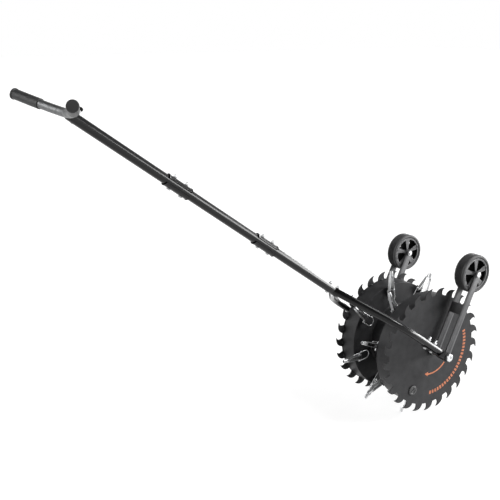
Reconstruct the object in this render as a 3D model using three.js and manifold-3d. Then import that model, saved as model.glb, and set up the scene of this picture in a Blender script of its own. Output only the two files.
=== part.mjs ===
// Rolling lawn aerator: a hollow drum with forked coring tines between two toothed discs, rolled over a lawn
// by a long jointed handle, with two transport wheels on arms above it.
// Millimetres, +Z up, +X forward, +Y to the user's left.
import * as THREE from "three";
import { mergeVertices } from "three/addons/utils/BufferGeometryUtils.js";
import Module from "manifold-3d";

const wasm = await Module();
wasm.setup();

const rad = THREE.MathUtils.degToRad;
const QUARTER_TURN = rad(90);
const FULL_TURN = rad(360);

// Fits shared by every piece
const GAP = 0.3; // between pieces that touch
const RUNNING_GAP = 0.5; // round a shaft that turns
const OVERRUN = 3; // how far a cut runs past the face that it opens
const WELD_DISTANCE = 0.001; // vertices nearer than this are one

// Stance
const HANDLE_ANGLE = rad(35.4); // pole above the ground
const WHEEL_ARM_ANGLE = rad(80); // from the pole to the wheel arms, round the axle

// Toothed discs
const DISC_RADIUS = 228.6; // over the tooth tips
const DISC_THICKNESS = 4;
const DISC_OFFSET = 126.4; // middle of the machine to the middle of a disc's plate
const TOOTH_COUNT = 25;
const TOOTH_DEPTH = 27;
const TOOTH_PHASE = rad(7.3);
// A tooth's curves, each from one end through a control point to the other: shares of the pitch and the depth
const TOOTH_FRONT_SHARES = [[0.09, 1], [0.265, 0.325], [0, 0]];
const TOOTH_BACK_SHARES = [[0, 0], [0.62, 0.03], [0.708, 1]];

// Drum: a spool of sheet steel
const CHAMBER_LEDGE = 1.6; // from the teeth's roots in to the chambers' skin
const WAIST_DEPTH = 82; // from the chambers' skin in to the waist
const WAIST_WIDTH = 124;
const DRUM_SHEET = 3;
const HUB_TUBE_RADIUS = 17;
const HUB_TUBE_WALL = 3;
const HUB_TUBE_END = 9.6; // how far the tube stands out of a disc

// Filler plug in the right disc
const PLUG_INSET = 42; // from the chamber's skin
const PLUG_ANGLE = rad(237.8);
const PLUG_FLANGE_RADIUS = 18.5;
const PLUG_THREAD_RADIUS = 14;
const PLUG_HEIGHT = 9;
const PLUG_RIM = 4;
const PLUG_THREAD_LENGTH = 10;

// Tines, their lugs and their lock pins
const TINES_PER_ROW = 8;
const TINE_ROW_INSET = 15; // from a chamber's inner wall to its row
const TINE_PHASE = rad(13.6); // first pin of the left row
const TINE_PIN_INSET = 11.4; // from the chambers' skin
const TINE_LEAN = rad(12); // from the radius through the pin, in the sense that the teeth hook
const TINE_REACH = 74; // pin to tip
const TINE_CROTCH = 38; // pin to where the legs join
const TINE_TAIL = 8; // how far the legs run past the pin
const TINE_NOSE_RADIUS = 6.3;
const TINE_BORE_RADIUS = 4.8;
const TINE_EDGE_LENGTH = 8; // ground outside, down to an edge
const TINE_EDGE = 0.6;
const TINE_LEG_WIDTH = 10;
const TINE_LEG_THICKNESS = 3;
const LUG_THICKNESS = 12;
const LUG_FOOT_OUTWARD = 10;
const LUG_FOOT_INWARD = 18;
const LUG_NOSE_RADIUS = 8;
const LOCK_PIN_RADIUS = 3;
const LOCK_PIN_LENGTH = 34;
const BAIL_WIRE_RADIUS = 1.5;
const BAIL_REACH = 43; // pin to the far side of the loop
const BAIL_TAIL = 25;
const BAIL_TILT = rad(8);

// Axle
const AXLE_RADIUS = 8;
const AXLE_HEAD_WIDTH = 26; // across flats
const AXLE_HEAD_HEIGHT = 8;
const BUSH_FLANGE_RADIUS = 15;
const BUSH_FLANGE_LENGTH = 6.4;
const BUSH_LENGTH = 25;

// Pole: the crown's joint is measured up from the axle, and each tube reaches to the next joint
const POLE_RADIUS = 14;
const POLE_WALL = 1.5;
const CROWN_JOINT = 438;
const LOWER_TUBE_LENGTH = 344;
const MIDDLE_TUBE_LENGTH = 368;
const UPPER_TUBE_LENGTH = 400; // to the middle of the handlebar

// Fork
const FORK_TUBE_RADIUS = 12.7;
const FORK_TUBE_WALL = 1.6;
const FORK_APEX_RISE = 12; // from the crown's joint to where the arms' centre lines meet
const FORK_SPREAD = rad(45);
const FORK_BEND_RADIUS = 145;
const FORK_ARM_END = 38;
const FORK_NECK_LENGTH = 33;
const SPIGOT_LENGTH = 45;
const CROWN_BOLT_PITCH = 38;

// Splice plates and bolts
const PLATE_LENGTH = 100;
const PLATE_THICKNESS = 3;
const PLATE_WRAP = rad(130);
const SPLICE_BOLT_PITCH = 50;
const BOLT_RADIUS = 4;
const BOLT_HEAD_WIDTH = 13; // across flats
const BOLT_HEAD_HEIGHT = 5;
const NUT_HEIGHT = 6.5;
const BOLT_END = 3; // thread standing out of its nut
const ARM_BOLT_END = 9;

// Handlebar
const BAR_RADIUS = 12.7;
const BAR_RISE = 77;
const BAR_DROP = 7;
const BAR_HALF_WIDTH = 211;
const BAR_SWEEP_POWER = 2.5;
const BAR_STUB_LENGTH = 60;
const BAR_BOLT_DROP = 30; // middle of the bar down to the stub's bolt
const BAR_CAP_HEIGHT = 9;
const GRIP_RADIUS = 15;
const GRIP_END_RADIUS = 16.5;
const GRIP_END_WIDTH = 6;
const GRIP_WIDTH = 72; // along the machine's width
const GRIP_CAP = 4;

// Wheel arms and the channels under the fork arms
const WHEEL_DISTANCE = 305.5; // axle to wheel bolt
const WHEEL_ARM_WIDTH = 22;
const WHEEL_ARM_THICKNESS = 4;
const WHEEL_ARM_SPACING = 50; // inner arm to outer arm
const FORK_ARM_INSET = 3; // from the outer arm's middle in to the fork arm's
const WEB_BOTTOM = 152;
const WEB_TOP = 190;
const EYE_RADIUS = 14;
const CHANNEL_SHEET = 2.5;
const CHANNEL_LENGTH = 125;
const CHEEK_LENGTH = 47;
const STRIP_WIDTH = 20;
const ARM_BOLTS = [78, 112];

// Transport wheels
const TYRE_RADIUS = 64;
const TYRE_WIDTH = 40;
const TYRE_SHOULDER = 5;
const TREAD_DEPTH = 2.5;
const TREAD_GROOVE = 4;
const TREAD_GROOVE_SHARES = [-0.25, 0.25]; // of the tyre's width, from its middle
const WHEEL_HUB_RADIUS = 49;
const WHEEL_HUB_WIDTH = 36;
const WHEEL_RIM = 6;
const WHEEL_BOSS_RADIUS = 13;
const SPOKE_COUNT = 5;
const SPOKE_ROOT_WIDTH = 8;
const SPOKE_RIM_WIDTH = 20;
const WHEEL_BOLT_RADIUS = 5;
const WHEEL_BOLT_HEAD_WIDTH = 17;
const WHEEL_BOLT_HEAD_HEIGHT = 6;

// Facets round each form
const POLE_SIDES = 12;
const FORK_SIDES = 10;
const BAR_SIDES = 12;
const DRUM_SIDES = 32;
const WHEEL_SIDES = 20;
const HUB_SIDES = 12;
const AXLE_SIDES = 12;
const WHEEL_BOLT_SIDES = 8;
const BOLT_SIDES = 6;
const PIN_SIDES = 6;
const WIRE_SIDES = 4;
const TINE_SIDES = 6;
const HEX = 6;
const BAIL_STEPS = [1, 3, 1]; // tail and leg, turn, leg
const FORK_STEPS = [1, 4, 1]; // leg, bend, foot
const BAR_STEPS = 12;
const GRIP_STEPS = 2;

const SIDES = [-1, 1]; // the user's right, and left

// Materials
const paint = (colour) => new THREE.MeshStandardMaterial({ color: colour, roughness: 0.45, metalness: 0.3 });
const metal = (colour) => new THREE.MeshStandardMaterial({ color: colour, roughness: 0.3, metalness: 0.95 });
const soft = (colour) => new THREE.MeshStandardMaterial({ color: colour, roughness: 0.85, metalness: 0 });
const BLACK_PAINT = 0x3a3b3d;
const POLE_PAINT = 0x343536;
const BRACKET_PAINT = 0x303132;
const ZINC = 0xc9ccd0;
const BAR_STEEL = 0xa9acb0;
const VINYL = 0x3d3d3f;
const TYRE_BLACK = 0x2b2c2d;
const HUB_GREY = 0x6c6e70;
const PLUG_BLACK = 0x1e1f20;
const BUSH_NYLON = 0x8a8c8e;

// Turns a geometry into one with only shared positions, without triangles that the sharing closed up
function weld(geometry) {
  const bare = geometry.clone();
  bare.deleteAttribute("normal");
  bare.deleteAttribute("uv");
  const merged = mergeVertices(bare, WELD_DISTANCE);
  const kept = [];
  for (let i = 0; i < merged.index.count; i += 3) {
    const corners = [0, 1, 2].map((step) => merged.index.getX(i + step));
    if (new Set(corners).size === corners.length) kept.push(...corners);
  }
  merged.setIndex(kept);
  return merged;
}

function toSolid(geometry) {
  const welded = weld(geometry);
  const mesh = new wasm.Mesh({
    numProp: 3,
    vertProperties: Float32Array.from(welded.attributes.position.array),
    triVerts: Uint32Array.from(welded.index.array),
  });
  return new wasm.Manifold(mesh);
}

function toGeometry(solid) {
  const mesh = solid.getMesh();
  const geometry = new THREE.BufferGeometry();
  geometry.setAttribute("position", new THREE.BufferAttribute(mesh.vertProperties, 3));
  geometry.setIndex(new THREE.BufferAttribute(mesh.triVerts, 1));
  return geometry;
}

function join(...geometries) {
  return toGeometry(geometries.map(toSolid).reduce((whole, piece) => whole.add(piece)));
}

function cut(body, ...tools) {
  return toGeometry(tools.map(toSolid).reduce((whole, tool) => whole.subtract(tool), toSolid(body)));
}

// A regular outline with a corner on +X
function polygon(radius, sides) {
  const corners = [];
  for (let i = 0; i < sides; i += 1) {
    const angle = (FULL_TURN * i) / sides;
    corners.push(new THREE.Vector2(radius * Math.cos(angle), radius * Math.sin(angle)));
  }
  return new THREE.Shape(corners);
}

function slab(shape, depth, curveSegments = 3) {
  return new THREE.ExtrudeGeometry(shape, { depth, bevelEnabled: false, curveSegments });
}

// Prisms along Z, along X and along Y between two places, and a flat plate whose outline lies in X and Z
function rodZ(radius, sides, from, to) {
  return slab(polygon(radius, sides), to - from).translate(0, 0, from);
}

function rodX(radius, sides, from, to) {
  return rodZ(radius, sides, from, to).rotateY(QUARTER_TURN);
}

function rodY(radius, sides, from, to) {
  return rodZ(radius, sides, from, to).rotateX(-QUARTER_TURN);
}

function plateXZ(shape, from, to, curveSegments) {
  return slab(shape, to - from, curveSegments).rotateX(QUARTER_TURN).translate(0, to, 0);
}

function block([x0, x1], [y0, y1], [z0, z1]) {
  const box = new THREE.BoxGeometry(x1 - x0, y1 - y0, z1 - z0);
  return box.translate((x0 + x1) / 2, (y0 + y1) / 2, (z0 + z1) / 2);
}

function sweep(radius, sides, path) {
  const options = { extrudePath: path, steps: path.totalSteps, bevelEnabled: false };
  return new THREE.ExtrudeGeometry(polygon(radius, sides), options);
}

// Revolves [radius, y] points round Y: a ring closes on itself, a solid starts and ends on the axis
function revolve(profile, sides) {
  const points = profile.map(([radius, y]) => new THREE.Vector2(radius, y));
  if (points[0].x > 0) points.push(points[0].clone());
  return new THREE.LatheGeometry(points, sides);
}

// A piece drawn for the left side, or its mirror image for the right side
function across(geometry, side) {
  if (side > 0) return geometry;
  const mirrored = weld(geometry);
  mirrored.scale(1, -1, 1);
  mirrored.setIndex(Array.from(mirrored.index.array).reverse());
  return mirrored;
}

// Curves drawn flat, one after another, with their points placed in space: each has its own number of steps
class FlatPath extends THREE.Curve {
  constructor(curves, steps, place) {
    super();
    this.curves = curves;
    this.steps = steps;
    this.place = place;
  }

  get totalSteps() {
    return this.steps.reduce((sum, count) => sum + count, 0);
  }

  getPoint(t) {
    let station = t * this.totalSteps;
    let index = 0;
    while (index < this.curves.length - 1 && station > this.steps[index]) {
      station -= this.steps[index];
      index += 1;
    }
    const point = this.curves[index].getPoint(station / this.steps[index]);
    return this.place(point.x, point.y);
  }

  getUtoTmapping(u) {
    return u;
  }
}

function hole(shape, radius, sides, x = 0, y = 0) {
  const corners = polygon(radius, sides).getPoints();
  shape.holes.push(new THREE.Path(corners.map((corner) => new THREE.Vector2(x + corner.x, y + corner.y))));
}

// Half the distance across the corners of a hexagon
const hexRadius = (acrossFlats) => acrossFlats / Math.sqrt(3);

// A bolt along X with its head below `under`, its nut on `top` and its thread standing out
function boltX(under, top, end) {
  const head = rodX(hexRadius(BOLT_HEAD_WIDTH), HEX, under - BOLT_HEAD_HEIGHT, under);
  const nut = rodX(hexRadius(BOLT_HEAD_WIDTH), HEX, top + GAP, top + GAP + NUT_HEIGHT);
  const shank = rodX(BOLT_RADIUS, BOLT_SIDES, under - GAP, top + GAP + NUT_HEIGHT + end);
  return [head, nut, shank];
}

const boltHole = (from, to) => rodX(BOLT_RADIUS + GAP, BOLT_SIDES, from, to);

// Rotor
const discInner = DISC_OFFSET - DISC_THICKNESS / 2;
const discOuter = DISC_OFFSET + DISC_THICKNESS / 2;
const chamberRadius = DISC_RADIUS - TOOTH_DEPTH - CHAMBER_LEDGE;
const waistRadius = chamberRadius - WAIST_DEPTH;
const hubTubeEnd = discOuter + HUB_TUBE_END;
const tineRowOffset = WAIST_WIDTH / 2 - TINE_ROW_INSET;
const tinePitch = FULL_TURN / TINES_PER_ROW;

function toothedDiscOutline() {
  const outline = [];
  const pitch = FULL_TURN / TOOTH_COUNT;
  const curves = [TOOTH_FRONT_SHARES, TOOTH_BACK_SHARES].map((shares) => {
    const [start, control, end] = shares.map(([x, y]) => new THREE.Vector2(x, y));
    return new THREE.QuadraticBezierCurve(start, control, end);
  });
  for (let tooth = 0; tooth < TOOTH_COUNT; tooth += 1) {
    const [front, back] = curves.map((curve) => curve.getPoints(3));
    for (const share of [...front, ...back.slice(1)]) {
      const angle = TOOTH_PHASE + pitch * (tooth + share.x);
      const radius = DISC_RADIUS - TOOTH_DEPTH * share.y;
      outline.push(new THREE.Vector2(radius * Math.cos(angle), radius * Math.sin(angle)));
    }
  }
  return new THREE.Shape(outline);
}

const plugOrbit = chamberRadius - PLUG_INSET;
const plugPlace = new THREE.Vector2(Math.cos(PLUG_ANGLE), Math.sin(PLUG_ANGLE)).multiplyScalar(plugOrbit);

function toothedDisc(side) {
  const shape = toothedDiscOutline();
  hole(shape, HUB_TUBE_RADIUS + GAP, HUB_SIDES);
  if (side < 0) hole(shape, PLUG_THREAD_RADIUS + GAP, HUB_SIDES, plugPlace.x, plugPlace.y);
  const [from, to] = side < 0 ? [-discOuter, -discInner] : [discInner, discOuter];
  return plateXZ(shape, from, to);
}

// The pose of a tine: its origin is the lock pin, +Z points out to the tip, +X along the pin
function tineStation(side, index) {
  const rowShift = side < 0 ? tinePitch / 2 : 0;
  const angle = TINE_PHASE + rowShift + tinePitch * index;
  const station = new THREE.Group();
  const orbit = chamberRadius - TINE_PIN_INSET;
  station.position.set(orbit * Math.cos(angle), side * tineRowOffset, orbit * Math.sin(angle));
  station.rotation.y = QUARTER_TURN - (angle - TINE_LEAN);
  station.updateMatrix();
  return station;
}

// A lug from the chamber's inner wall to the pin, in the tine's pose
function tineLug(side) {
  const wall = TINE_ROW_INSET + DRUM_SHEET / 2;
  const shape = new THREE.Shape();
  shape.moveTo(LUG_FOOT_INWARD, wall);
  shape.lineTo(-LUG_FOOT_OUTWARD, wall);
  shape.absarc(0, 0, LUG_NOSE_RADIUS, Math.PI, FULL_TURN, false);
  const lug = slab(shape, LUG_THICKNESS, 2).translate(0, 0, -LUG_THICKNESS / 2).rotateY(QUARTER_TURN);
  if (side < 0) lug.rotateZ(Math.PI);
  return cut(lug, rodX(LOCK_PIN_RADIUS + GAP, PIN_SIDES, -LUG_THICKNESS, LUG_THICKNESS));
}

function drum() {
  const mirror = (points) => points.map(([radius, y]) => [radius, -y]).reverse();
  const edge = discInner - GAP;
  const wall = WAIST_WIDTH / 2;
  const outer = [[waistRadius, wall], [chamberRadius, wall], [chamberRadius, edge]];
  const inner = [
    [chamberRadius - DRUM_SHEET, edge],
    [chamberRadius - DRUM_SHEET, wall + DRUM_SHEET],
    [waistRadius - DRUM_SHEET, wall + DRUM_SHEET],
  ];
  const spool = revolve([...mirror(outer), ...outer, ...inner, ...mirror(inner)], DRUM_SIDES);
  const lugs = [];
  for (const side of SIDES) {
    for (let index = 0; index < TINES_PER_ROW; index += 1) {
      lugs.push(tineLug(side).applyMatrix4(tineStation(side, index).matrix));
    }
  }
  return join(spool, ...lugs);
}

function hubTube() {
  const past = hubTubeEnd + OVERRUN;
  const bore = rodY(HUB_TUBE_RADIUS - HUB_TUBE_WALL, HUB_SIDES, -past, past);
  return cut(rodY(HUB_TUBE_RADIUS, HUB_SIDES, -hubTubeEnd, hubTubeEnd), bore);
}

// A flanged bush, drawn for the left side
function hubBush() {
  const end = hubTubeEnd;
  const flangeEnd = end + GAP + BUSH_FLANGE_LENGTH;
  const body = rodY(HUB_TUBE_RADIUS - HUB_TUBE_WALL - GAP, HUB_SIDES, end - BUSH_LENGTH, end + GAP * 2);
  const flange = rodY(BUSH_FLANGE_RADIUS, HUB_SIDES, end + GAP, flangeEnd);
  return cut(join(body, flange), rodY(AXLE_RADIUS + RUNNING_GAP, AXLE_SIDES, 0, flangeEnd + OVERRUN));
}

// A domed cap with a threaded neck, standing on the disc's outer face, with its own axis on Y
function fillerPlug() {
  const plug = revolve([
    [0, -DISC_THICKNESS - PLUG_THREAD_LENGTH],
    [PLUG_THREAD_RADIUS, -DISC_THICKNESS - PLUG_THREAD_LENGTH],
    [PLUG_THREAD_RADIUS, GAP],
    [PLUG_FLANGE_RADIUS, GAP],
    [PLUG_FLANGE_RADIUS, PLUG_RIM],
    [PLUG_THREAD_RADIUS, PLUG_HEIGHT],
    [0, PLUG_HEIGHT],
  ], HUB_SIDES);
  return plug.rotateX(Math.PI).translate(plugPlace.x, -discOuter, plugPlace.y);
}

// One leg of the fork, in the tine's pose: it spreads from the bore's edge to clear the lug on its +X side
function tineLeg() {
  const slope = (LUG_THICKNESS / 2 + GAP - TINE_BORE_RADIUS) / (TINE_CROTCH - LUG_FOOT_OUTWARD);
  const inside = TINE_BORE_RADIUS + slope * (TINE_CROTCH + TINE_TAIL);
  const profile = new THREE.Shape([
    new THREE.Vector2(inside, -TINE_TAIL),
    new THREE.Vector2(inside + TINE_LEG_THICKNESS, -TINE_TAIL),
    new THREE.Vector2(TINE_NOSE_RADIUS, TINE_CROTCH),
    new THREE.Vector2(TINE_BORE_RADIUS, TINE_CROTCH),
  ]);
  return plateXZ(profile, -TINE_LEG_WIDTH / 2, TINE_LEG_WIDTH / 2);
}

function tine() {
  const nose = revolve([
    [0, TINE_CROTCH - TINE_LEG_THICKNESS],
    [TINE_NOSE_RADIUS, TINE_CROTCH - TINE_LEG_THICKNESS],
    [TINE_NOSE_RADIUS, TINE_REACH - TINE_EDGE_LENGTH],
    [TINE_BORE_RADIUS + TINE_EDGE, TINE_REACH],
    [0, TINE_REACH],
  ], TINE_SIDES).rotateX(QUARTER_TURN);
  const forged = join(nose, tineLeg(), tineLeg().rotateZ(Math.PI));
  const bore = rodZ(TINE_BORE_RADIUS, TINE_SIDES, TINE_CROTCH - OVERRUN * 2, TINE_REACH + OVERRUN);
  const pinHole = rodX(LOCK_PIN_RADIUS + GAP, PIN_SIDES, -LOCK_PIN_LENGTH, LOCK_PIN_LENGTH);
  return cut(forged, bore.rotateZ(Math.PI / TINE_SIDES), pinHole);
}

// The cross pin with its wire bail: a tail, the loop on the drum's side, and back to the pin's other end
function lockPin() {
  const half = LOCK_PIN_LENGTH / 2 - BAIL_WIRE_RADIUS;
  const turn = half - BAIL_REACH;
  const path = new THREE.Path();
  path.moveTo(half, BAIL_TAIL);
  path.lineTo(half, turn);
  path.absarc(0, turn, half, 0, -Math.PI, true);
  path.lineTo(-half, LOCK_PIN_RADIUS);
  const wire = new FlatPath(path.curves, BAIL_STEPS, (x, y) => new THREE.Vector3(x, 0, y));
  const bail = sweep(BAIL_WIRE_RADIUS, WIRE_SIDES, wire).rotateY(-BAIL_TILT);
  return join(rodX(LOCK_PIN_RADIUS, PIN_SIDES, -LOCK_PIN_LENGTH / 2, LOCK_PIN_LENGTH / 2), bail);
}

// Handle, modelled upright and leaned over afterwards: +Z runs up the pole from the axle, +X stands off it
const poleBore = POLE_RADIUS - POLE_WALL;
const lowerJoint = CROWN_JOINT + LOWER_TUBE_LENGTH;
const upperJoint = lowerJoint + MIDDLE_TUBE_LENGTH;
const barHeight = upperJoint + UPPER_TUBE_LENGTH;
const barBoltHeight = barHeight - BAR_BOLT_DROP;
const plateTop = POLE_RADIUS + GAP + PLATE_THICKNESS;

// Places across the machine: each wheel's two arms, the wheel between them, and the fork's arm
const innerArm = hubTubeEnd + GAP * 2 + BUSH_FLANGE_LENGTH + WHEEL_ARM_THICKNESS / 2;
const outerArm = innerArm + WHEEL_ARM_SPACING;
const wheelOffset = (innerArm + outerArm) / 2;
const forkHalfWidth = outerArm - FORK_ARM_INSET;

function spliceBolts(joint, pitch) {
  return [joint - pitch / 2, joint + pitch / 2];
}

// A length of pole with bolt holes straight through it
function poleTube(from, to, bolts) {
  const bore = rodZ(poleBore, POLE_SIDES, from - OVERRUN, to + OVERRUN);
  const holes = bolts.map((height) => boltHole(-POLE_RADIUS * 2, POLE_RADIUS * 2).translate(0, 0, height));
  return cut(rodZ(POLE_RADIUS, POLE_SIDES, from, to), bore, ...holes);
}

function upperTube() {
  const bolts = [upperJoint + SPLICE_BOLT_PITCH / 2, barBoltHeight];
  const tube = poleTube(upperJoint + GAP / 2, barHeight - BAR_RADIUS / 2, bolts);
  const cope = rodY(BAR_RADIUS + GAP, BAR_SIDES * 2, -POLE_RADIUS * 2, POLE_RADIUS * 2);
  return cut(tube, cope.translate(0, 0, barHeight));
}

// A saddle rolled to the tube, standing on its +X side
function splicePlate(from, to) {
  const inner = POLE_RADIUS + GAP;
  const shape = new THREE.Shape();
  shape.absarc(0, 0, inner + PLATE_THICKNESS, -PLATE_WRAP / 2, PLATE_WRAP / 2, false);
  shape.absarc(0, 0, inner, PLATE_WRAP / 2, -PLATE_WRAP / 2, true);
  return slab(shape, to - from, 4).translate(0, 0, from);
}

function topPlate(joint) {
  const plate = splicePlate(joint - PLATE_LENGTH / 2, joint + PLATE_LENGTH / 2);
  const bolts = spliceBolts(joint, SPLICE_BOLT_PITCH);
  return cut(plate, ...bolts.map((height) => boltHole(0, POLE_RADIUS * 2).translate(0, 0, height)));
}

// The bottom plate holds the two bolts, which reach up through the tubes and the top plate to their nuts
function bottomPlate(joint) {
  const plate = splicePlate(joint - PLATE_LENGTH / 2, joint + PLATE_LENGTH / 2).rotateZ(Math.PI);
  const bolts = spliceBolts(joint, SPLICE_BOLT_PITCH).flatMap((height) =>
    boltX(-plateTop, plateTop, BOLT_END).map((piece) => piece.translate(0, 0, height)),
  );
  return join(plate, ...bolts);
}

function fork() {
  const neckTop = CROWN_JOINT - GAP / 2;
  const apex = CROWN_JOINT + FORK_APEX_RISE;
  const path = new THREE.Path();
  const bend = FORK_BEND_RADIUS * Math.tan(FORK_SPREAD / 2);
  const elbow = apex - forkHalfWidth / Math.tan(FORK_SPREAD);
  path.moveTo(0, apex);
  path.lineTo(forkHalfWidth - bend * Math.sin(FORK_SPREAD), elbow + bend * Math.cos(FORK_SPREAD));
  path.absarc(forkHalfWidth - FORK_BEND_RADIUS, elbow - bend, FORK_BEND_RADIUS, FORK_SPREAD, 0, true);
  path.lineTo(forkHalfWidth, FORK_ARM_END);
  const arms = SIDES.map((side) => {
    const line = new FlatPath(path.curves, FORK_STEPS, (x, y) => new THREE.Vector3(0, side * x, y));
    return sweep(FORK_TUBE_RADIUS, FORK_SIDES, line);
  });
  const spigot = rodZ(poleBore - GAP, POLE_SIDES, neckTop - OVERRUN, CROWN_JOINT + SPIGOT_LENGTH);
  const neck = rodZ(POLE_RADIUS, POLE_SIDES, CROWN_JOINT - FORK_NECK_LENGTH, neckTop);
  const tubeSpace = rodZ(POLE_RADIUS + GAP, POLE_SIDES, neckTop, apex + POLE_RADIUS * 2);
  const bores = SIDES.map((side) => {
    const radius = FORK_TUBE_RADIUS - FORK_TUBE_WALL;
    const bore = rodZ(radius, FORK_SIDES, FORK_ARM_END - OVERRUN, CHANNEL_LENGTH);
    return bore.translate(0, side * forkHalfWidth, 0);
  });
  const holes = SIDES.flatMap((side) => ARM_BOLTS.map((height) =>
    boltHole(-FORK_TUBE_RADIUS * 2, FORK_TUBE_RADIUS * 2).translate(0, side * forkHalfWidth, height),
  ));
  const frame = cut(join(neck, ...arms), tubeSpace, ...bores, ...holes);
  const bolts = spliceBolts(CROWN_JOINT, CROWN_BOLT_PITCH).flatMap((height) =>
    boltX(-POLE_RADIUS - GAP, POLE_RADIUS, BOLT_END).map((piece) => piece.translate(0, 0, height)),
  );
  return join(frame, spigot, ...bolts);
}

// The bar's centre line between two places along the machine's width
function barLine(from, to, steps) {
  const height = (y) => Math.abs(y / BAR_HALF_WIDTH) ** BAR_SWEEP_POWER;
  const width = new THREE.LineCurve(new THREE.Vector2(from, 0), new THREE.Vector2(to, 0));
  return new FlatPath([width], [steps], (y) =>
    new THREE.Vector3(-BAR_DROP * height(y), y, barHeight + BAR_RISE * height(y)),
  );
}

// The bowed bar, its stub inside the pole, and the bolt through both with a cap over the thread
function handlebar() {
  const bar = sweep(BAR_RADIUS, BAR_SIDES, barLine(-BAR_HALF_WIDTH, BAR_HALF_WIDTH, BAR_STEPS));
  const stub = rodZ(poleBore - GAP, POLE_SIDES, barHeight - BAR_STUB_LENGTH, barHeight);
  const bolt = boltX(-POLE_RADIUS - GAP, POLE_RADIUS, 0);
  const nutTop = POLE_RADIUS + GAP + NUT_HEIGHT;
  const cap = rodX(BOLT_HEAD_WIDTH / 2, BOLT_SIDES, nutTop - GAP, nutTop + BAR_CAP_HEIGHT);
  return join(bar, stub, ...[...bolt, cap].map((piece) => piece.translate(0, 0, barBoltHeight)));
}

function grip(side) {
  const inner = BAR_HALF_WIDTH - GRIP_WIDTH;
  const outer = BAR_HALF_WIDTH + GRIP_CAP;
  const rim = outer - GRIP_END_WIDTH / 2;
  const sleeve = sweep(GRIP_RADIUS, BAR_SIDES, barLine(side * inner, side * rim, GRIP_STEPS));
  const end = sweep(GRIP_END_RADIUS, BAR_SIDES, barLine(side * (outer - GRIP_END_WIDTH), side * outer, 1));
  const bar = barLine(-BAR_HALF_WIDTH - GAP, BAR_HALF_WIDTH + GAP, BAR_STEPS);
  return cut(join(sleeve, end), sweep(BAR_RADIUS + GAP, BAR_SIDES, bar));
}

// A flat arm from the axle to the wheel bolt, in X and Z with +Z up the arm
function wheelArm(offset) {
  const half = WHEEL_ARM_WIDTH / 2;
  const shoulder = Math.acos(half / EYE_RADIUS);
  const shape = new THREE.Shape();
  shape.absarc(0, 0, EYE_RADIUS, Math.PI - shoulder, FULL_TURN + shoulder, false);
  shape.absarc(0, WHEEL_DISTANCE, half, 0, Math.PI, false);
  hole(shape, AXLE_RADIUS + GAP, AXLE_SIDES);
  hole(shape, WHEEL_BOLT_RADIUS + GAP, WHEEL_BOLT_SIDES, 0, WHEEL_DISTANCE);
  return plateXZ(shape, offset - WHEEL_ARM_THICKNESS / 2, offset + WHEEL_ARM_THICKNESS / 2);
}

// The channel under the fork arm: a floor, two cheeks round the axle, and a narrow strip that the arm's bolts hold
function armChannel() {
  const room = FORK_TUBE_RADIUS + GAP;
  const floor = [-room - CHANNEL_SHEET, -room];
  const half = room + CHANNEL_SHEET;
  const cheek = new THREE.Shape();
  cheek.absarc(0, 0, EYE_RADIUS, Math.PI, FULL_TURN, false);
  cheek.lineTo(EYE_RADIUS, CHEEK_LENGTH / 2);
  cheek.lineTo(floor[1], CHEEK_LENGTH);
  cheek.lineTo(floor[0], CHEEK_LENGTH);
  cheek.lineTo(floor[0], 0);
  hole(cheek, AXLE_RADIUS + GAP, AXLE_SIDES);
  const cheeks = [[-half, -room], [room, half]].map(([from, to]) =>
    plateXZ(cheek, forkHalfWidth + from, forkHalfWidth + to),
  );
  const pan = block(floor, [forkHalfWidth - half, forkHalfWidth + half], [-EYE_RADIUS / 2, CHEEK_LENGTH]);
  const stripEdges = SIDES.map((edge) => forkHalfWidth + (edge * STRIP_WIDTH) / 2);
  const strip = block(floor, stripEdges, [0, CHANNEL_LENGTH]);
  const bolts = ARM_BOLTS.flatMap((height) =>
    boltX(floor[0], FORK_TUBE_RADIUS, ARM_BOLT_END).map((piece) => piece.translate(0, forkHalfWidth, height)),
  );
  return join(...cheeks, pan, strip, ...bolts);
}

function wheelBracket(side) {
  const edge = -WHEEL_ARM_WIDTH / 2;
  const web = block([edge, edge + WHEEL_ARM_THICKNESS], [innerArm, outerArm], [WEB_BOTTOM, WEB_TOP]);
  const arms = join(wheelArm(innerArm), wheelArm(outerArm), web).rotateY(WHEEL_ARM_ANGLE);
  return across(join(arms, armChannel()), side);
}

// The axle: its head against the right channel, its nut against the left one
const stackEnd = forkHalfWidth + FORK_TUBE_RADIUS + GAP + CHANNEL_SHEET;

function axle() {
  const face = -stackEnd - GAP;
  const head = rodY(hexRadius(AXLE_HEAD_WIDTH), HEX, face - AXLE_HEAD_HEIGHT, face);
  const end = stackEnd + GAP + AXLE_HEAD_HEIGHT + BOLT_END;
  return join(head, rodY(AXLE_RADIUS, AXLE_SIDES, face - GAP, end));
}

function axleNut() {
  const face = stackEnd + GAP;
  const nut = rodY(hexRadius(AXLE_HEAD_WIDTH), HEX, face, face + AXLE_HEAD_HEIGHT);
  return cut(nut, rodY(AXLE_RADIUS + GAP, AXLE_SIDES, face - OVERRUN, face + AXLE_HEAD_HEIGHT + OVERRUN));
}

// The bolt that a wheel turns on: head outside, nut inside
function wheelBolt(side) {
  const outside = outerArm + WHEEL_ARM_THICKNESS / 2 + GAP;
  const inside = innerArm - WHEEL_ARM_THICKNESS / 2 - GAP;
  const radius = hexRadius(WHEEL_BOLT_HEAD_WIDTH);
  const head = rodY(radius, HEX, outside, outside + WHEEL_BOLT_HEAD_HEIGHT);
  const nut = rodY(radius, HEX, inside - WHEEL_BOLT_HEAD_HEIGHT, inside);
  const end = inside - WHEEL_BOLT_HEAD_HEIGHT - BOLT_END;
  const shank = rodY(WHEEL_BOLT_RADIUS, WHEEL_BOLT_SIDES, end, outside + GAP);
  const bolt = join(head, nut, shank).translate(0, 0, WHEEL_DISTANCE).rotateY(WHEEL_ARM_ANGLE);
  return across(bolt, side);
}

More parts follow.
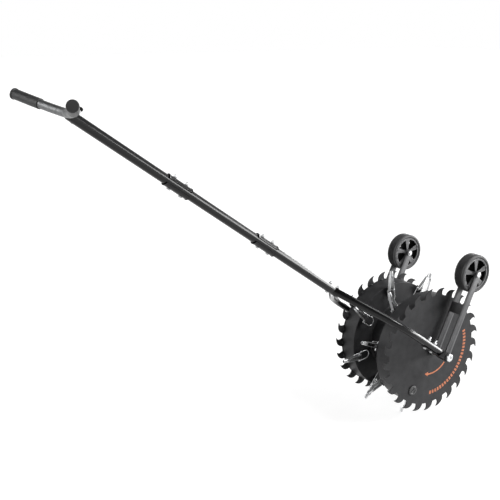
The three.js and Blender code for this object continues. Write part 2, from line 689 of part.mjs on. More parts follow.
function tyre() {
  const half = TYRE_WIDTH / 2;
  const bead = WHEEL_HUB_RADIUS + GAP;
  const shoulder = [[TYRE_RADIUS, half - TYRE_SHOULDER], [TYRE_RADIUS - TYRE_SHOULDER, half]];
  const profile = shoulder.map(([radius, y]) => [radius, -y]).reverse();
  for (const share of TREAD_GROOVE_SHARES) {
    const [from, to] = SIDES.map((edge) => share * TYRE_WIDTH + (edge * TREAD_GROOVE) / 2);
    const floor = TYRE_RADIUS - TREAD_DEPTH;
    profile.push([TYRE_RADIUS, from], [floor, from], [floor, to], [TYRE_RADIUS, to]);
  }
  const beads = [[bead, half - TYRE_SHOULDER], [bead, TYRE_SHOULDER - half]];
  return revolve([...profile, ...shoulder, ...beads], WHEEL_SIDES);
}

// A wheel's hub: five spokes that widen to the rim, with wedge-shaped openings right through between them
function wheelHub() {
  const rimInside = WHEEL_HUB_RADIUS - WHEEL_RIM;
  const shape = polygon(WHEEL_HUB_RADIUS, WHEEL_SIDES);
  hole(shape, WHEEL_BOLT_RADIUS + RUNNING_GAP, WHEEL_BOLT_SIDES);
  for (let spoke = 0; spoke < SPOKE_COUNT; spoke += 1) {
    const pitch = FULL_TURN / SPOKE_COUNT;
    const middle = QUARTER_TURN + pitch * (spoke + 1 / 2);
    const rootSpan = pitch / 2 - Math.asin(SPOKE_ROOT_WIDTH / 2 / WHEEL_BOSS_RADIUS);
    const rimSpan = pitch / 2 - Math.asin(SPOKE_RIM_WIDTH / 2 / rimInside);
    const wedge = new THREE.Path();
    const [rootX, rootY] = [Math.cos(middle + rootSpan), Math.sin(middle + rootSpan)];
    wedge.moveTo(WHEEL_BOSS_RADIUS * rootX, WHEEL_BOSS_RADIUS * rootY);
    const [lastX, lastY] = [Math.cos(middle - rootSpan), Math.sin(middle - rootSpan)];
    wedge.lineTo(WHEEL_BOSS_RADIUS * lastX, WHEEL_BOSS_RADIUS * lastY);
    wedge.absarc(0, 0, rimInside, middle - rimSpan, middle + rimSpan, false);
    shape.holes.push(wedge);
  }
  return plateXZ(shape, -WHEEL_HUB_WIDTH / 2, WHEEL_HUB_WIDTH / 2, 2);
}

// Assembly
function mesh(name, geometry, material) {
  const result = new THREE.Mesh(geometry, material);
  result.name = name;
  return result;
}

const sideName = (side) => (side < 0 ? "right" : "left");

function handleGroup() {
  const handle = new THREE.Group();
  handle.rotation.y = HANDLE_ANGLE - QUARTER_TURN;
  const lowerBolts = [CROWN_JOINT + CROWN_BOLT_PITCH / 2, lowerJoint - SPLICE_BOLT_PITCH / 2];
  const middleBolts = [lowerJoint + SPLICE_BOLT_PITCH / 2, upperJoint - SPLICE_BOLT_PITCH / 2];
  handle.add(
    mesh("handlebar", handlebar(), metal(BAR_STEEL)),
    mesh("upper_tube", upperTube(), paint(POLE_PAINT)),
    mesh("middle_tube", poleTube(lowerJoint + GAP / 2, upperJoint - GAP / 2, middleBolts), paint(POLE_PAINT)),
    mesh("lower_tube", poleTube(CROWN_JOINT + GAP / 2, lowerJoint - GAP / 2, lowerBolts), paint(POLE_PAINT)),
    mesh("fork", fork(), paint(POLE_PAINT)),
  );
  for (const [name, joint] of [["upper_joint", upperJoint], ["lower_joint", lowerJoint]]) {
    handle.add(mesh(`${name}_top_plate`, topPlate(joint), paint(POLE_PAINT)));
    handle.add(mesh(`${name}_bottom_plate`, bottomPlate(joint), paint(POLE_PAINT)));
  }
  for (const side of SIDES) {
    handle.add(mesh(`${sideName(side)}_grip`, grip(side), soft(VINYL)));
    handle.add(mesh(`${sideName(side)}_wheel_bracket`, wheelBracket(side), paint(BRACKET_PAINT)));
    handle.add(mesh(`${sideName(side)}_wheel_bolt`, wheelBolt(side), metal(ZINC)));
  }
  return handle;
}

function rotorGroup() {
  const rotor = new THREE.Group();
  rotor.add(mesh("drum", drum(), paint(BLACK_PAINT)));
  rotor.add(mesh("hub_tube", hubTube(), paint(BLACK_PAINT)));
  rotor.add(mesh("filler_plug", fillerPlug(), soft(PLUG_BLACK)));
  for (const side of SIDES) {
    rotor.add(mesh(`${sideName(side)}_toothed_disc`, toothedDisc(side), paint(BLACK_PAINT)));
    rotor.add(mesh(`${sideName(side)}_hub_bush`, across(hubBush(), side), soft(BUSH_NYLON)));
    for (let index = 0; index < TINES_PER_ROW; index += 1) {
      const station = tineStation(side, index);
      const number = index + 1 + (side < 0 ? TINES_PER_ROW : 0);
      station.add(mesh(`tine_${number}`, tine(), metal(ZINC)));
      station.add(mesh(`lock_pin_${number}`, lockPin(), metal(ZINC)));
      rotor.add(station);
    }
  }
  return rotor;
}

function wheelGroup(side) {
  const wheel = new THREE.Group();
  const angle = Math.PI - HANDLE_ANGLE - WHEEL_ARM_ANGLE;
  wheel.position.set(WHEEL_DISTANCE * Math.cos(angle), side * wheelOffset, WHEEL_DISTANCE * Math.sin(angle));
  wheel.add(mesh(`${sideName(side)}_tyre`, tyre(), soft(TYRE_BLACK)));
  wheel.add(mesh(`${sideName(side)}_wheel_hub`, wheelHub(), soft(HUB_GREY)));
  return wheel;
}

const machine = new THREE.Group();
machine.add(handleGroup(), rotorGroup());
machine.add(mesh("axle", axle(), metal(ZINC)), mesh("axle_nut", axleNut(), metal(ZINC)));
for (const side of SIDES) machine.add(wheelGroup(side));

// The origin is on the ground under the middle of the whole machine's outline
const outline = new THREE.Box3().setFromObject(machine, true);
const middle = outline.getCenter(new THREE.Vector3());
machine.position.set(-middle.x, -middle.y, -outline.min.z);

const part = new THREE.Group();
part.name = "rolling_lawn_aerator";
part.add(machine);
part.updateMatrixWorld(true);

export default part;
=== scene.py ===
import math

import bpy
from mathutils import Matrix, Vector


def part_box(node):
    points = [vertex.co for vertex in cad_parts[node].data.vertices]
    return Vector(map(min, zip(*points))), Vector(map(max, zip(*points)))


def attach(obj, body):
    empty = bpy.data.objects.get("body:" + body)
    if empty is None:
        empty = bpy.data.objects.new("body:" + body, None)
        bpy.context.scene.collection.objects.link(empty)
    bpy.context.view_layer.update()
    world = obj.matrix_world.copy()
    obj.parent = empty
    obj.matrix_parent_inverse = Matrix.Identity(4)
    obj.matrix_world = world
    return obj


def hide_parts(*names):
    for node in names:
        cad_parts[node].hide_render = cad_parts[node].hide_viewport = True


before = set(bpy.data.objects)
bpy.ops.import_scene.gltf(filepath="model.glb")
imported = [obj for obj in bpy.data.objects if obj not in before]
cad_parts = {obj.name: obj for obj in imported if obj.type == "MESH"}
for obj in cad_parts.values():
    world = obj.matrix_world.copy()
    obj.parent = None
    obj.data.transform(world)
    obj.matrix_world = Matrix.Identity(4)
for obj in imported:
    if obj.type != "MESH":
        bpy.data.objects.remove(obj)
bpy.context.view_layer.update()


# Studio
# A white sweep of floor under a dark ceiling. A soft key lamp stands high on the right, a fill behind the
# left and a small lamp overhead, and a long low row past the drum draws the highlights on the tubes.
low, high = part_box("hub_tube")
AXLE = (low + high) / 2
CAMERA_FROM_AXLE = Vector((-2.1051, -2.1692, 1.1366))
CAMERA_LOOK = Vector((0.5283, 0.8085, -0.2593))
LENS = 61.9
AMBIENT = 0.16
CEILING_FROM, CEILING_TO = 0.22, 0.60
CEILING = 0.10
ROW_AWAY = 15
ROW_DIRECTION = Vector((0.962, -0.240, 0.130))
ROW_LENGTH, ROW_HEIGHT = 27, 5
ROW_POWER = 6200
FLOOR_SIZE = 60
FLOOR_COLOR = (0.26, 0.26, 0.26, 1)
FLOOR_GLOW = 0.84
# Each lamp: the way its light goes, its strength, and the degrees that it is wide
KEY_LAMP = ((-0.42, 0.48, -0.77), 2.8, 22)
FILL_LAMP = ((0.76, -0.52, -0.38), 1.4, 40)
OVERHEAD_LAMP = ((-0.38, 0, -0.93), 1.3, 30)


def put(tree, kind, settings=(), inputs=()):
    """Adds a shader node. An input takes a value, or another node's output."""
    made = tree.nodes.new(kind)
    for name, value in dict(settings).items():
        setattr(made, name, value)
    for socket, value in dict(inputs).items():
        if isinstance(value, bpy.types.NodeSocket):
            tree.links.new(value, made.inputs[socket])
        else:
            made.inputs[socket].default_value = value
    return made


def seen_rays(tree):
    """One for the rays that a person sees the studio by: straight, mirrored or through glass."""
    path = put(tree, "ShaderNodeLightPath")
    rays = [path.outputs[name] for name in ("Is Camera Ray", "Is Glossy Ray", "Is Transmission Ray")]
    two = put(tree, "ShaderNodeMath", {"operation": "ADD"}, {0: rays[0], 1: rays[1]})
    three = put(tree, "ShaderNodeMath", {"operation": "ADD", "use_clamp": True},
                {0: two.outputs[0], 1: rays[2]})
    return three.outputs[0]


world = bpy.data.worlds.new("studio")
bpy.context.scene.world = world
world.use_nodes = True
sky = world.node_tree
strength = put(sky, "ShaderNodeMath", {"operation": "MULTIPLY_ADD"},
               {0: seen_rays(sky), 1: 1 - AMBIENT, 2: AMBIENT})
background = sky.nodes["Background"]
direction = put(sky, "ShaderNodeSeparateXYZ", inputs={0: put(sky, "ShaderNodeTexCoord").outputs["Generated"]})
shade = put(sky, "ShaderNodeMapRange", inputs={"Value": direction.outputs["Z"], "From Min": CEILING_FROM,
                                               "From Max": CEILING_TO, "To Min": 1, "To Max": CEILING})
background.inputs["Color"].default_value = (1, 1, 1, 1)
lit = put(sky, "ShaderNodeMath", {"operation": "MULTIPLY"}, {0: strength.outputs[0], 1: shade.outputs[0]})
sky.links.new(lit.outputs[0], background.inputs["Strength"])

bpy.ops.object.select_all(action="DESELECT")
bpy.ops.mesh.primitive_plane_add(size=FLOOR_SIZE, location=(0, 0, 0))
floor = bpy.context.object
floor.name = "studio_floor"
floor_paint = bpy.data.materials.new("studio_floor")
floor_paint.use_nodes = True
shader = floor_paint.node_tree.nodes["Principled BSDF"]
shader.inputs["Base Color"].default_value = FLOOR_COLOR
shader.inputs["Roughness"].default_value = 0.7
shader.inputs["Emission Color"].default_value = (1, 1, 1, 1)
glow = put(floor_paint.node_tree, "ShaderNodeMath", {"operation": "MULTIPLY"},
           {0: seen_rays(floor_paint.node_tree), 1: FLOOR_GLOW})
floor_paint.node_tree.links.new(glow.outputs[0], shader.inputs["Emission Strength"])
floor.data.materials.append(floor_paint)


def aim(direction):
    return Vector(direction).to_track_quat("-Z", "Y").to_euler()


for direction, energy, softness in (KEY_LAMP, FILL_LAMP, OVERHEAD_LAMP):
    bpy.ops.object.light_add(type="SUN", rotation=aim(direction))
    sun = bpy.context.object
    sun.data.energy = energy
    sun.data.angle = math.radians(softness)
# The lamp overhead only draws a highlight along the fork
sun.visible_diffuse = False

bpy.ops.object.light_add(type="AREA", location=AXLE + ROW_DIRECTION * ROW_AWAY, rotation=aim(-ROW_DIRECTION))
row = bpy.context.object
row.data.shape = "RECTANGLE"
row.data.size = ROW_LENGTH
row.data.size_y = ROW_HEIGHT
row.data.energy = ROW_POWER
row.visible_camera = False

bpy.ops.object.camera_add(location=AXLE + CAMERA_FROM_AXLE, rotation=aim(CAMERA_LOOK))
camera = bpy.context.object
camera.data.sensor_width = 36
camera.data.lens = LENS
camera.data.clip_end = 200
bpy.context.scene.camera = camera
bpy.context.scene.view_settings.view_transform = "Standard"


# Drum
# A spool of 3 mm sheet steel, rolled, pressed and welded: two side chambers for water or sand, and a
# narrow waist between them where the tines stand. Weld beads run round the waist's corners. Here and
# below, pieces that are pushed together are drawn a paint film's thickness apart.
CHAMBER_RADIUS = 0.200
CHAMBER_END = 0.1241
WAIST_RADIUS = 0.118
WALL_OFFSET = 0.062
SHEET = 0.003
SHEET_BEND = 0.0016
WELD_RADIUS = 0.0022
FIT = 0.0003
CHARCOAL = (0.037, 0.037, 0.0385, 1)
# The pale colour that edges take: bare steel where paint wears, and a painted highlight
BARE_AND_HIGHLIGHT_EDGE = (0.13, 0.13, 0.135, 1)
ALONG_X = Matrix.Rotation(math.radians(90), 4, "Y")
ALONG_Y = Matrix.Rotation(math.radians(-90), 4, "X")
ROTOR = Matrix.Translation(AXLE) @ ALONG_Y


def let_go():
    if bpy.context.mode != "OBJECT":
        bpy.ops.object.mode_set(mode="OBJECT")
    bpy.ops.object.select_all(action="DESELECT")


def pick(*pieces):
    let_go()
    for piece in pieces:
        piece.select_set(True)
    bpy.context.view_layer.objects.active = pieces[0]


def open_up(piece):
    """Into edit mode with the whole mesh selected."""
    pick(piece)
    bpy.ops.object.mode_set(mode="EDIT")
    bpy.ops.mesh.select_all(action="SELECT")


def draw(name, points, closed=False):
    """A line through the points, pulled out vertex by vertex, left in edit mode."""
    let_go()
    bpy.ops.mesh.primitive_plane_add(size=0.001, location=points[0])
    line = bpy.context.object
    line.name = name
    bpy.ops.object.transform_apply(location=True)
    bpy.ops.object.mode_set(mode="EDIT")
    bpy.ops.mesh.select_all(action="SELECT")
    bpy.ops.mesh.merge(type="CENTER")
    for here, there in zip(points, points[1:] + points[:1] * closed):
        step = Vector(there) - Vector(here)
        bpy.ops.mesh.extrude_vertices_move(TRANSFORM_OT_translate={"value": step})
    bpy.ops.mesh.select_all(action="SELECT")
    bpy.ops.mesh.remove_doubles(threshold=0.000005)
    return line


def close_up(piece):
    """Merges what lies together, turns the faces outwards and leaves edit mode."""
    bpy.ops.mesh.select_all(action="SELECT")
    bpy.ops.mesh.remove_doubles(threshold=0.000005)
    bpy.ops.mesh.normals_make_consistent(inside=False)
    bpy.ops.object.mode_set(mode="OBJECT")
    return piece


def swing(angle, centre=(0, 0, 0), axis=(0, 0, 1), steps=16, copies=False):
    """Spins the selection counterclockwise round an axis; Blender's own spin goes the other way."""
    bpy.ops.mesh.spin(steps=steps, dupli=copies, angle=-angle, center=centre, axis=axis)


def turn(name, profile, steps=48, ring=False):
    """Turns (radius, height) points round the Z axis: a ring closes on itself, a solid ends on the axis."""
    piece = draw(name, [(radius, 0, height) for radius, height in profile], closed=ring)
    swing(2 * math.pi, steps=steps)
    return close_up(piece)


def use(piece, kind, **settings):
    """Adds a modifier and applies it."""
    pick(piece)
    bpy.ops.object.modifier_add(type=kind)
    modifier = piece.modifiers[-1]
    for name, value in settings.items():
        setattr(modifier, name, value)
    bpy.ops.object.modifier_apply(modifier=modifier.name)


def soften(piece, width, segments=2, angle=40):
    """Breaks the sharp edges, and keeps the flats flat in the light."""
    use(piece, "BEVEL", width=width, segments=segments, limit_method="ANGLE", angle_limit=math.radians(angle))
    smooth(piece)
    use(piece, "WEIGHTED_NORMAL", keep_sharp=True)


def smooth(piece, angle=40):
    pick(piece)
    bpy.ops.object.shade_smooth_by_angle(angle=math.radians(angle))


def seat(piece, place):
    """Puts a piece in its place, with the place in its mesh."""
    pick(piece)
    piece.matrix_world = place @ piece.matrix_world
    bpy.ops.object.transform_apply(location=True, rotation=True, scale=True)
    return piece


def again(piece, name, place):
    """A copy with its own mesh, in another place."""
    pick(piece)
    bpy.ops.object.duplicate()
    twin = bpy.context.object
    twin.name = name
    return seat(twin, place)


def join(name, *pieces):
    pick(*pieces)
    bpy.ops.object.join()
    pieces[0].name = name
    return pieces[0]


def dress(piece, material, body, slot, *nodes):
    """The piece's finish, the body it moves with, and the CAD nodes it stands for."""
    piece.data.materials.clear()
    piece.data.materials.append(material)
    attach(piece, body)
    if nodes:
        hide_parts(*nodes)
    return piece


def new_group(name, inputs, outputs):
    """A shader node group with named inputs and outputs."""
    group = bpy.data.node_groups.new(name, "ShaderNodeTree")
    for socket, kind, value in inputs:
        made = group.interface.new_socket(name=socket, in_out="INPUT", socket_type=kind)
        made.default_value = value
    for socket, kind in outputs:
        group.interface.new_socket(name=socket, in_out="OUTPUT", socket_type=kind)
    return group, group.nodes.new("NodeGroupInput"), group.nodes.new("NodeGroupOutput")


def noise(tree, place, scale, detail=2, roughness=0.5):
    made = put(tree, "ShaderNodeTexNoise", inputs={"Vector": place, "Scale": scale, "Detail": detail,
                                                   "Roughness": roughness})
    return made.outputs["Fac"]


def spread(tree, value, low, high, to_low=0.0, to_high=1.0):
    made = put(tree, "ShaderNodeMapRange", inputs={"Value": value, "From Min": low, "From Max": high,
                                                   "To Min": to_low, "To Max": to_high})
    return made.outputs[0]


def times(tree, one, other):
    return put(tree, "ShaderNodeMath", {"operation": "MULTIPLY"}, {0: one, 1: other}).outputs[0]


def blend(tree, share, one, other):
    made = put(tree, "ShaderNodeMix", {"data_type": "RGBA"}, {0: share, 6: one, 7: other})
    return made.outputs[2]


# Where an edge stands free, the mask is one; a slow noise breaks it up. Edges it marks are made paler:
# partly worn paint, partly a painted highlight along the edge
edge_lightening_group, given, result = new_group("edge lightening: worn paint and painted highlight", [("Width", "NodeSocketFloat", 0.001)],
                                      [("Mask", "NodeSocketFloat")])
rounded = put(edge_lightening_group, "ShaderNodeBevel", {"samples": 4}, {"Radius": given.outputs["Width"]})
facing = put(edge_lightening_group, "ShaderNodeNewGeometry")
agreement = put(edge_lightening_group, "ShaderNodeVectorMath", {"operation": "DOT_PRODUCT"},
                {0: rounded.outputs[0], 1: facing.outputs["Normal"]})
edge = spread(edge_lightening_group, agreement.outputs["Value"], 0.995, 0.86)
object_place = put(edge_lightening_group, "ShaderNodeTexCoord").outputs["Object"]
patches = spread(edge_lightening_group, noise(edge_lightening_group, object_place, 260, 3), 0.42, 0.62)
edge_lightening_group.links.new(times(edge_lightening_group, edge, patches), result.inputs["Mask"])

# Paint baked on steel: orange peel, a faint cloudiness, and paler edges, partly thin, worn paint and
# partly a painted highlight
film_group, given, result = new_group(
    "paint film",
    [("Film Color", "NodeSocketColor", CHARCOAL), ("Bare And Highlight Color", "NodeSocketColor", BARE_AND_HIGHLIGHT_EDGE),
     ("Edge Width", "NodeSocketFloat", 0.001), ("Edge Wear And Highlight", "NodeSocketFloat", 0.5),
     ("Gloss Roughness", "NodeSocketFloat", 0.35), ("Peel", "NodeSocketFloat", 0.3)],
    [("Color", "NodeSocketColor"), ("Roughness", "NodeSocketFloat"), ("Normal", "NodeSocketVector")])
object_place = put(film_group, "ShaderNodeTexCoord").outputs["Object"]
cloud = noise(film_group, object_place, 38, 3)
grain = noise(film_group, object_place, 1400, 2)
peel = noise(film_group, object_place, 620, 2)
edge_lightening = put(film_group, "ShaderNodeGroup", {"node_tree": edge_lightening_group}, {"Width": given.outputs["Edge Width"]})
rubbed_and_highlit = times(film_group, edge_lightening.outputs["Mask"], given.outputs["Edge Wear And Highlight"])
tone = times(film_group, spread(film_group, cloud, 0.3, 0.7, 0.86, 1.14),
             spread(film_group, grain, 0.3, 0.7, 0.92, 1.08))
toned = put(film_group, "ShaderNodeVectorMath", {"operation": "SCALE"},
            {0: given.outputs["Film Color"], "Scale": tone})
film_color = blend(film_group, rubbed_and_highlit, toned.outputs[0], given.outputs["Bare And Highlight Color"])
film_group.links.new(film_color, result.inputs["Color"])
dulled = put(film_group, "ShaderNodeMath", {"operation": "ADD"},
             {0: given.outputs["Gloss Roughness"], 1: spread(film_group, cloud, 0.3, 0.7, -0.04, 0.05)})
film_group.links.new(dulled.outputs[0], result.inputs["Roughness"])
bump = put(film_group, "ShaderNodeBump", inputs={"Strength": given.outputs["Peel"], "Distance": 0.00012,
                                                 "Height": peel})
film_group.links.new(bump.outputs[0], result.inputs["Normal"])


def new_material(name, group, values, **constants):
    """A material whose colour, roughness and normal come from a group, and the rest from plain values."""
    material = bpy.data.materials.new(name)
    material.use_nodes = True
    tree = material.node_tree
    principled = tree.nodes["Principled BSDF"]
    source = put(tree, "ShaderNodeGroup", {"node_tree": group}, values)
    for output, socket in (("Color", "Base Color"), ("Roughness", "Roughness"), ("Normal", "Normal")):
        tree.links.new(source.outputs[output], principled.inputs[socket])
    for socket, value in constants.items():
        principled.inputs[socket.replace("_", " ")].default_value = value
    return material


drum_paint = new_material("charcoal drum paint", film_group,
                          {"Film Color": CHARCOAL, "Gloss Roughness": 0.4, "Peel": 0.3,
                           "Edge Width": 0.0012, "Edge Wear And Highlight": 0.4}, Specular_IOR_Level=0.13)
seam_paint = new_material("charcoal seam paint", film_group,
                          {"Film Color": CHARCOAL, "Gloss Roughness": 0.34, "Peel": 0.8,
                           "Edge Width": 0.0006, "Edge Wear And Highlight": 0.3}, Specular_IOR_Level=0.22)

outside = [(WAIST_RADIUS, WALL_OFFSET), (CHAMBER_RADIUS, WALL_OFFSET), (CHAMBER_RADIUS, CHAMBER_END)]
inside = [(CHAMBER_RADIUS - SHEET, CHAMBER_END), (CHAMBER_RADIUS - SHEET, WALL_OFFSET + SHEET),
          (WAIST_RADIUS - SHEET, WALL_OFFSET + SHEET)]
mirrored_outside = [(radius, -y) for radius, y in reversed(outside)]
mirrored_inside = [(radius, -y) for radius, y in reversed(inside)]
spool = turn("drum_spool", mirrored_outside + outside + inside + mirrored_inside, steps=160, ring=True)
soften(spool, SHEET_BEND, segments=3)
seat(spool, ROTOR)
dress(spool, drum_paint, "rotor", "drum_paint", "drum")

for side, side_name in ((1, "left"), (-1, "right")):
    let_go()
    bpy.ops.mesh.primitive_torus_add(major_radius=WAIST_RADIUS + WELD_RADIUS * 0.4, minor_radius=WELD_RADIUS,
                                     major_segments=180, minor_segments=8)
    bead = bpy.context.object
    bead.name = f"waist_weld_{side_name}"
    use(bead, "DISPLACE", strength=0.0006, mid_level=0.5)
    smooth(bead, 60)
    seat(bead, ROTOR @ Matrix.Translation((0, 0, side * (WALL_OFFSET - WELD_RADIUS * 0.4))))
    dress(bead, seam_paint, "rotor", "drum_paint")


# Lugs
# Sixteen blocks of 12 mm bar welded on the chambers' inner walls, eight to a side, each with a round nose
# that is drilled for a tine's lock pin; the hole is not cut here, the noses are drawn solid. They are painted
# with the drum.
ROW_OFFSET = 0.047
PIN_ORBIT = 0.1886
FIRST_PIN = math.radians(13.6)
ROW_SHIFT = math.radians(22.5)
TINE_LEAN = math.radians(12)
LUG_HALF = 0.006
LUG_NOSE = 0.008
LUG_FOOT_OUTWARD = 0.010
LUG_FOOT_INWARD = 0.018
LUG_WALL = WALL_OFFSET + SHEET / 2 - ROW_OFFSET
FOOT_WELD = 0.003


def arc(centre, radius, start, end, steps):
    """Points on a round stretch of an outline, angles in degrees."""
    angles = [math.radians(start + (end - start) * step / steps) for step in range(steps + 1)]
    return [(centre[0] + radius * math.cos(angle), centre[1] + radius * math.sin(angle)) for angle in angles]


def plate(name, outline, bottom, top, holes=()):
    """A flat plate: an outline in X and Y, with round holes (x, y, radius), pulled up in Z."""
    piece = draw(name, [(x, y, bottom) for x, y in outline], closed=True)
    for x, y, radius in holes:
        bpy.ops.mesh.primitive_circle_add(vertices=40, radius=radius, location=(x, y, bottom))
    bpy.ops.mesh.select_all(action="SELECT")
    if holes:
        bpy.ops.mesh.fill()
    else:
        bpy.ops.mesh.edge_face_add()
    bpy.ops.mesh.select_all(action="SELECT")
    bpy.ops.mesh.extrude_region_move(TRANSFORM_OT_translate={"value": (0, 0, top - bottom)})
    return close_up(piece)


def stations():
    """Each tine's number and place: the origin is its lock pin, Z points to its tip, X lies along the pin."""
    for side in (1, -1):
        for index in range(8):
            angle = FIRST_PIN + ROW_SHIFT * (side < 0) + math.radians(45) * index
            along, up = PIN_ORBIT * math.cos(angle), PIN_ORBIT * math.sin(angle)
            place = AXLE + Vector((along, side * ROW_OFFSET, up))
            lean = Matrix.Rotation(math.pi / 2 - (angle - TINE_LEAN), 4, "Y")
            yield index + 1 + 8 * (side < 0), side, Matrix.Translation(place) @ lean


nose = arc((0, 0), LUG_NOSE, 180, 360, 14)
lug_outline = [(LUG_FOOT_INWARD, LUG_WALL), (-LUG_FOOT_OUTWARD, LUG_WALL)] + nose
lug = plate("lug", lug_outline, -LUG_HALF, LUG_HALF)
soften(lug, 0.0008)
foot = plate("lug_weld", [(-LUG_FOOT_OUTWARD - FOOT_WELD, -LUG_HALF - FOOT_WELD),
                          (LUG_FOOT_INWARD + FOOT_WELD, -LUG_HALF - FOOT_WELD),
                          (LUG_FOOT_INWARD + FOOT_WELD, LUG_HALF + FOOT_WELD),
                          (-LUG_FOOT_OUTWARD - FOOT_WELD, LUG_HALF + FOOT_WELD)], 0, FOOT_WELD)
soften(foot, FOOT_WELD * 0.8, segments=4)
seat(foot, Matrix.Translation((0, LUG_WALL - SHEET / 2 + 0.0001, 0)) @ Matrix.Rotation(math.pi / 2, 4, "X"))
lug = join("lug", lug, foot)
seat(lug, ALONG_X)
for number, side, station in stations():
    turned = Matrix.Rotation(math.pi * (side < 0), 4, "Z")
    dress(again(lug, f"lug_{number}", station @ turned), drum_paint, "rotor", "drum_paint")
bpy.data.objects.remove(lug)


# Toothed discs
# Two discs of 4 mm plate with twenty-five hooked teeth, cut by laser, that close the chambers and slit the
# turf beside the cores. Each is tacked to its chamber behind every tooth and painted with the drum.
TIP_RADIUS = 0.2286
TOOTH_DEPTH = 0.027
TOOTH_COUNT = 25
TOOTH_PHASES = {1: math.radians(4.1), -1: math.radians(5.9)}
DISC_INSIDE = 0.1244
DISC_OUTSIDE = 0.1284
HUB_TUBE_RADIUS = 0.017
PLUG_ORBIT = 0.158
PLUG_ANGLE = math.radians(237.8)
PLUG_NECK = 0.014
TACK_SHARE = 0.39
FLAT = Matrix.Translation(AXLE) @ Matrix.Rotation(math.pi / 2, 4, "X")
plug_place = (PLUG_ORBIT * math.cos(PLUG_ANGLE), PLUG_ORBIT * math.sin(PLUG_ANGLE))


def bow(start, control, end, steps):
    """Points on a curve that leaves one end towards a control point and arrives at the other from it."""
    shares = [step / steps for step in range(steps + 1)]
    return [tuple(a * (1 - t) ** 2 + b * 2 * t * (1 - t) + c * t * t for a, b, c in zip(start, control, end))
            for t in shares]


# A tooth as shares of the pitch and of its depth: the hollow front, the tip, the long back and the root
tooth_pitch = 2 * math.pi / TOOTH_COUNT
tooth = bow((0.09, 1), (0.265, 0.325), (0, 0), 9) + bow((0, 0), (0.62, 0.03), (0.708, 1), 12)[1:]
tooth += [(0.708 + 0.382 * step / 3, 1) for step in (1, 2, 3)]
tooth_line = []
for along, down in tooth:
    angle, radius = tooth_pitch * along, TIP_RADIUS - TOOTH_DEPTH * down
    tooth_line.append((radius * math.cos(angle), radius * math.sin(angle), 0))

for side, side_name in ((1, "left"), (-1, "right")):
    disc = draw(f"{side_name}_disc_plate", tooth_line)
    swing(2 * math.pi, steps=TOOTH_COUNT, copies=True)
    bpy.ops.mesh.select_all(action="SELECT")
    bpy.ops.mesh.remove_doubles(threshold=0.00002)
    bpy.ops.object.mode_set(mode="OBJECT")
    seat(disc, Matrix.Rotation(TOOTH_PHASES[side], 4, "Z"))
    open_up(disc)
    bpy.ops.mesh.primitive_circle_add(vertices=64, radius=HUB_TUBE_RADIUS + FIT)
    if side < 0:
        bpy.ops.mesh.primitive_circle_add(vertices=48, radius=PLUG_NECK + FIT, location=(*plug_place, 0))
    bpy.ops.mesh.select_all(action="SELECT")
    bpy.ops.mesh.fill()
    bpy.ops.mesh.select_all(action="SELECT")
    bpy.ops.mesh.extrude_region_move(TRANSFORM_OT_translate={"value": (0, 0, DISC_OUTSIDE - DISC_INSIDE)})
    close_up(disc)
    soften(disc, 0.0005)
    seat(disc, FLAT @ Matrix.Translation((0, 0, -DISC_OUTSIDE if side > 0 else DISC_INSIDE)))
    dress(disc, drum_paint, "rotor", "drum_paint", f"{side_name}_toothed_disc")

    let_go()
    bpy.ops.mesh.primitive_uv_sphere_add(segments=12, ring_count=8, radius=1)
    tacks = bpy.context.object
    tacks.name = f"{side_name}_disc_tacks"
    tacks.scale = (0.0032, 0.0062, 0.0026)
    tack_angle = TOOTH_PHASES[side] + tooth_pitch * TACK_SHARE
    seat(tacks, Matrix.Rotation(tack_angle, 4, "Z") @ Matrix.Translation((CHAMBER_RADIUS + 0.0016, 0, 0)))
    open_up(tacks)
    swing(2 * math.pi * (1 - 1 / TOOTH_COUNT), steps=TOOTH_COUNT - 1, copies=True)
    close_up(tacks)
    smooth(tacks, 80)
    seat(tacks, FLAT @ Matrix.Translation((0, 0, -side * (DISC_INSIDE - 0.0006))))
    dress(tacks, seam_paint, "rotor", "drum_paint")


# Hub tube and bushes
# A steel tube through the drum, welded into both discs, with a flanged nylon bush pressed in each end for
# the axle to run in.
HUB_TUBE_END = 0.138
HUB_TUBE_WALL = 0.003
BUSH_FLANGE = 0.015
BUSH_END = 0.1447
BUSH_BORE = 0.0084
BUSH_DEPTH = 0.025
NYLON = (0.30, 0.30, 0.29, 1)

inner = HUB_TUBE_RADIUS - HUB_TUBE_WALL
hub_tube = turn("hub_tube_steel", [
    (inner, -HUB_TUBE_END), (HUB_TUBE_RADIUS, -HUB_TUBE_END),
    (HUB_TUBE_RADIUS, HUB_TUBE_END), (inner, HUB_TUBE_END)], steps=64, ring=True)
soften(hub_tube, 0.0005)
seat(hub_tube, ROTOR)
dress(hub_tube, drum_paint, "rotor", "drum_paint", "hub_tube")

# Moulded plastic and rubber: a fine leathery grain, cloudy gloss, and paler edges, partly worn and partly
# a painted highlight
grain_group, given, result = new_group(
    "moulded grain",
    [("Plastic Color", "NodeSocketColor", NYLON), ("Rubbed And Highlight Color", "NodeSocketColor", NYLON),
     ("Rubbed", "NodeSocketFloat", 0.4), ("Grain Scale", "NodeSocketFloat", 900.0),
     ("Grain Strength", "NodeSocketFloat", 0.4), ("Gloss Roughness", "NodeSocketFloat", 0.5)],
    [("Color", "NodeSocketColor"), ("Roughness", "NodeSocketFloat"), ("Normal", "NodeSocketVector")])
object_place = put(grain_group, "ShaderNodeTexCoord").outputs["Object"]
cloud = noise(grain_group, object_place, 55, 3)
cells = put(grain_group, "ShaderNodeTexVoronoi", inputs={"Vector": object_place,
                                                         "Scale": given.outputs["Grain Scale"]})
edge_lightening = put(grain_group, "ShaderNodeGroup", {"node_tree": edge_lightening_group}, {"Width": 0.0012})
rubbed_and_highlit = times(grain_group, edge_lightening.outputs["Mask"], given.outputs["Rubbed"])
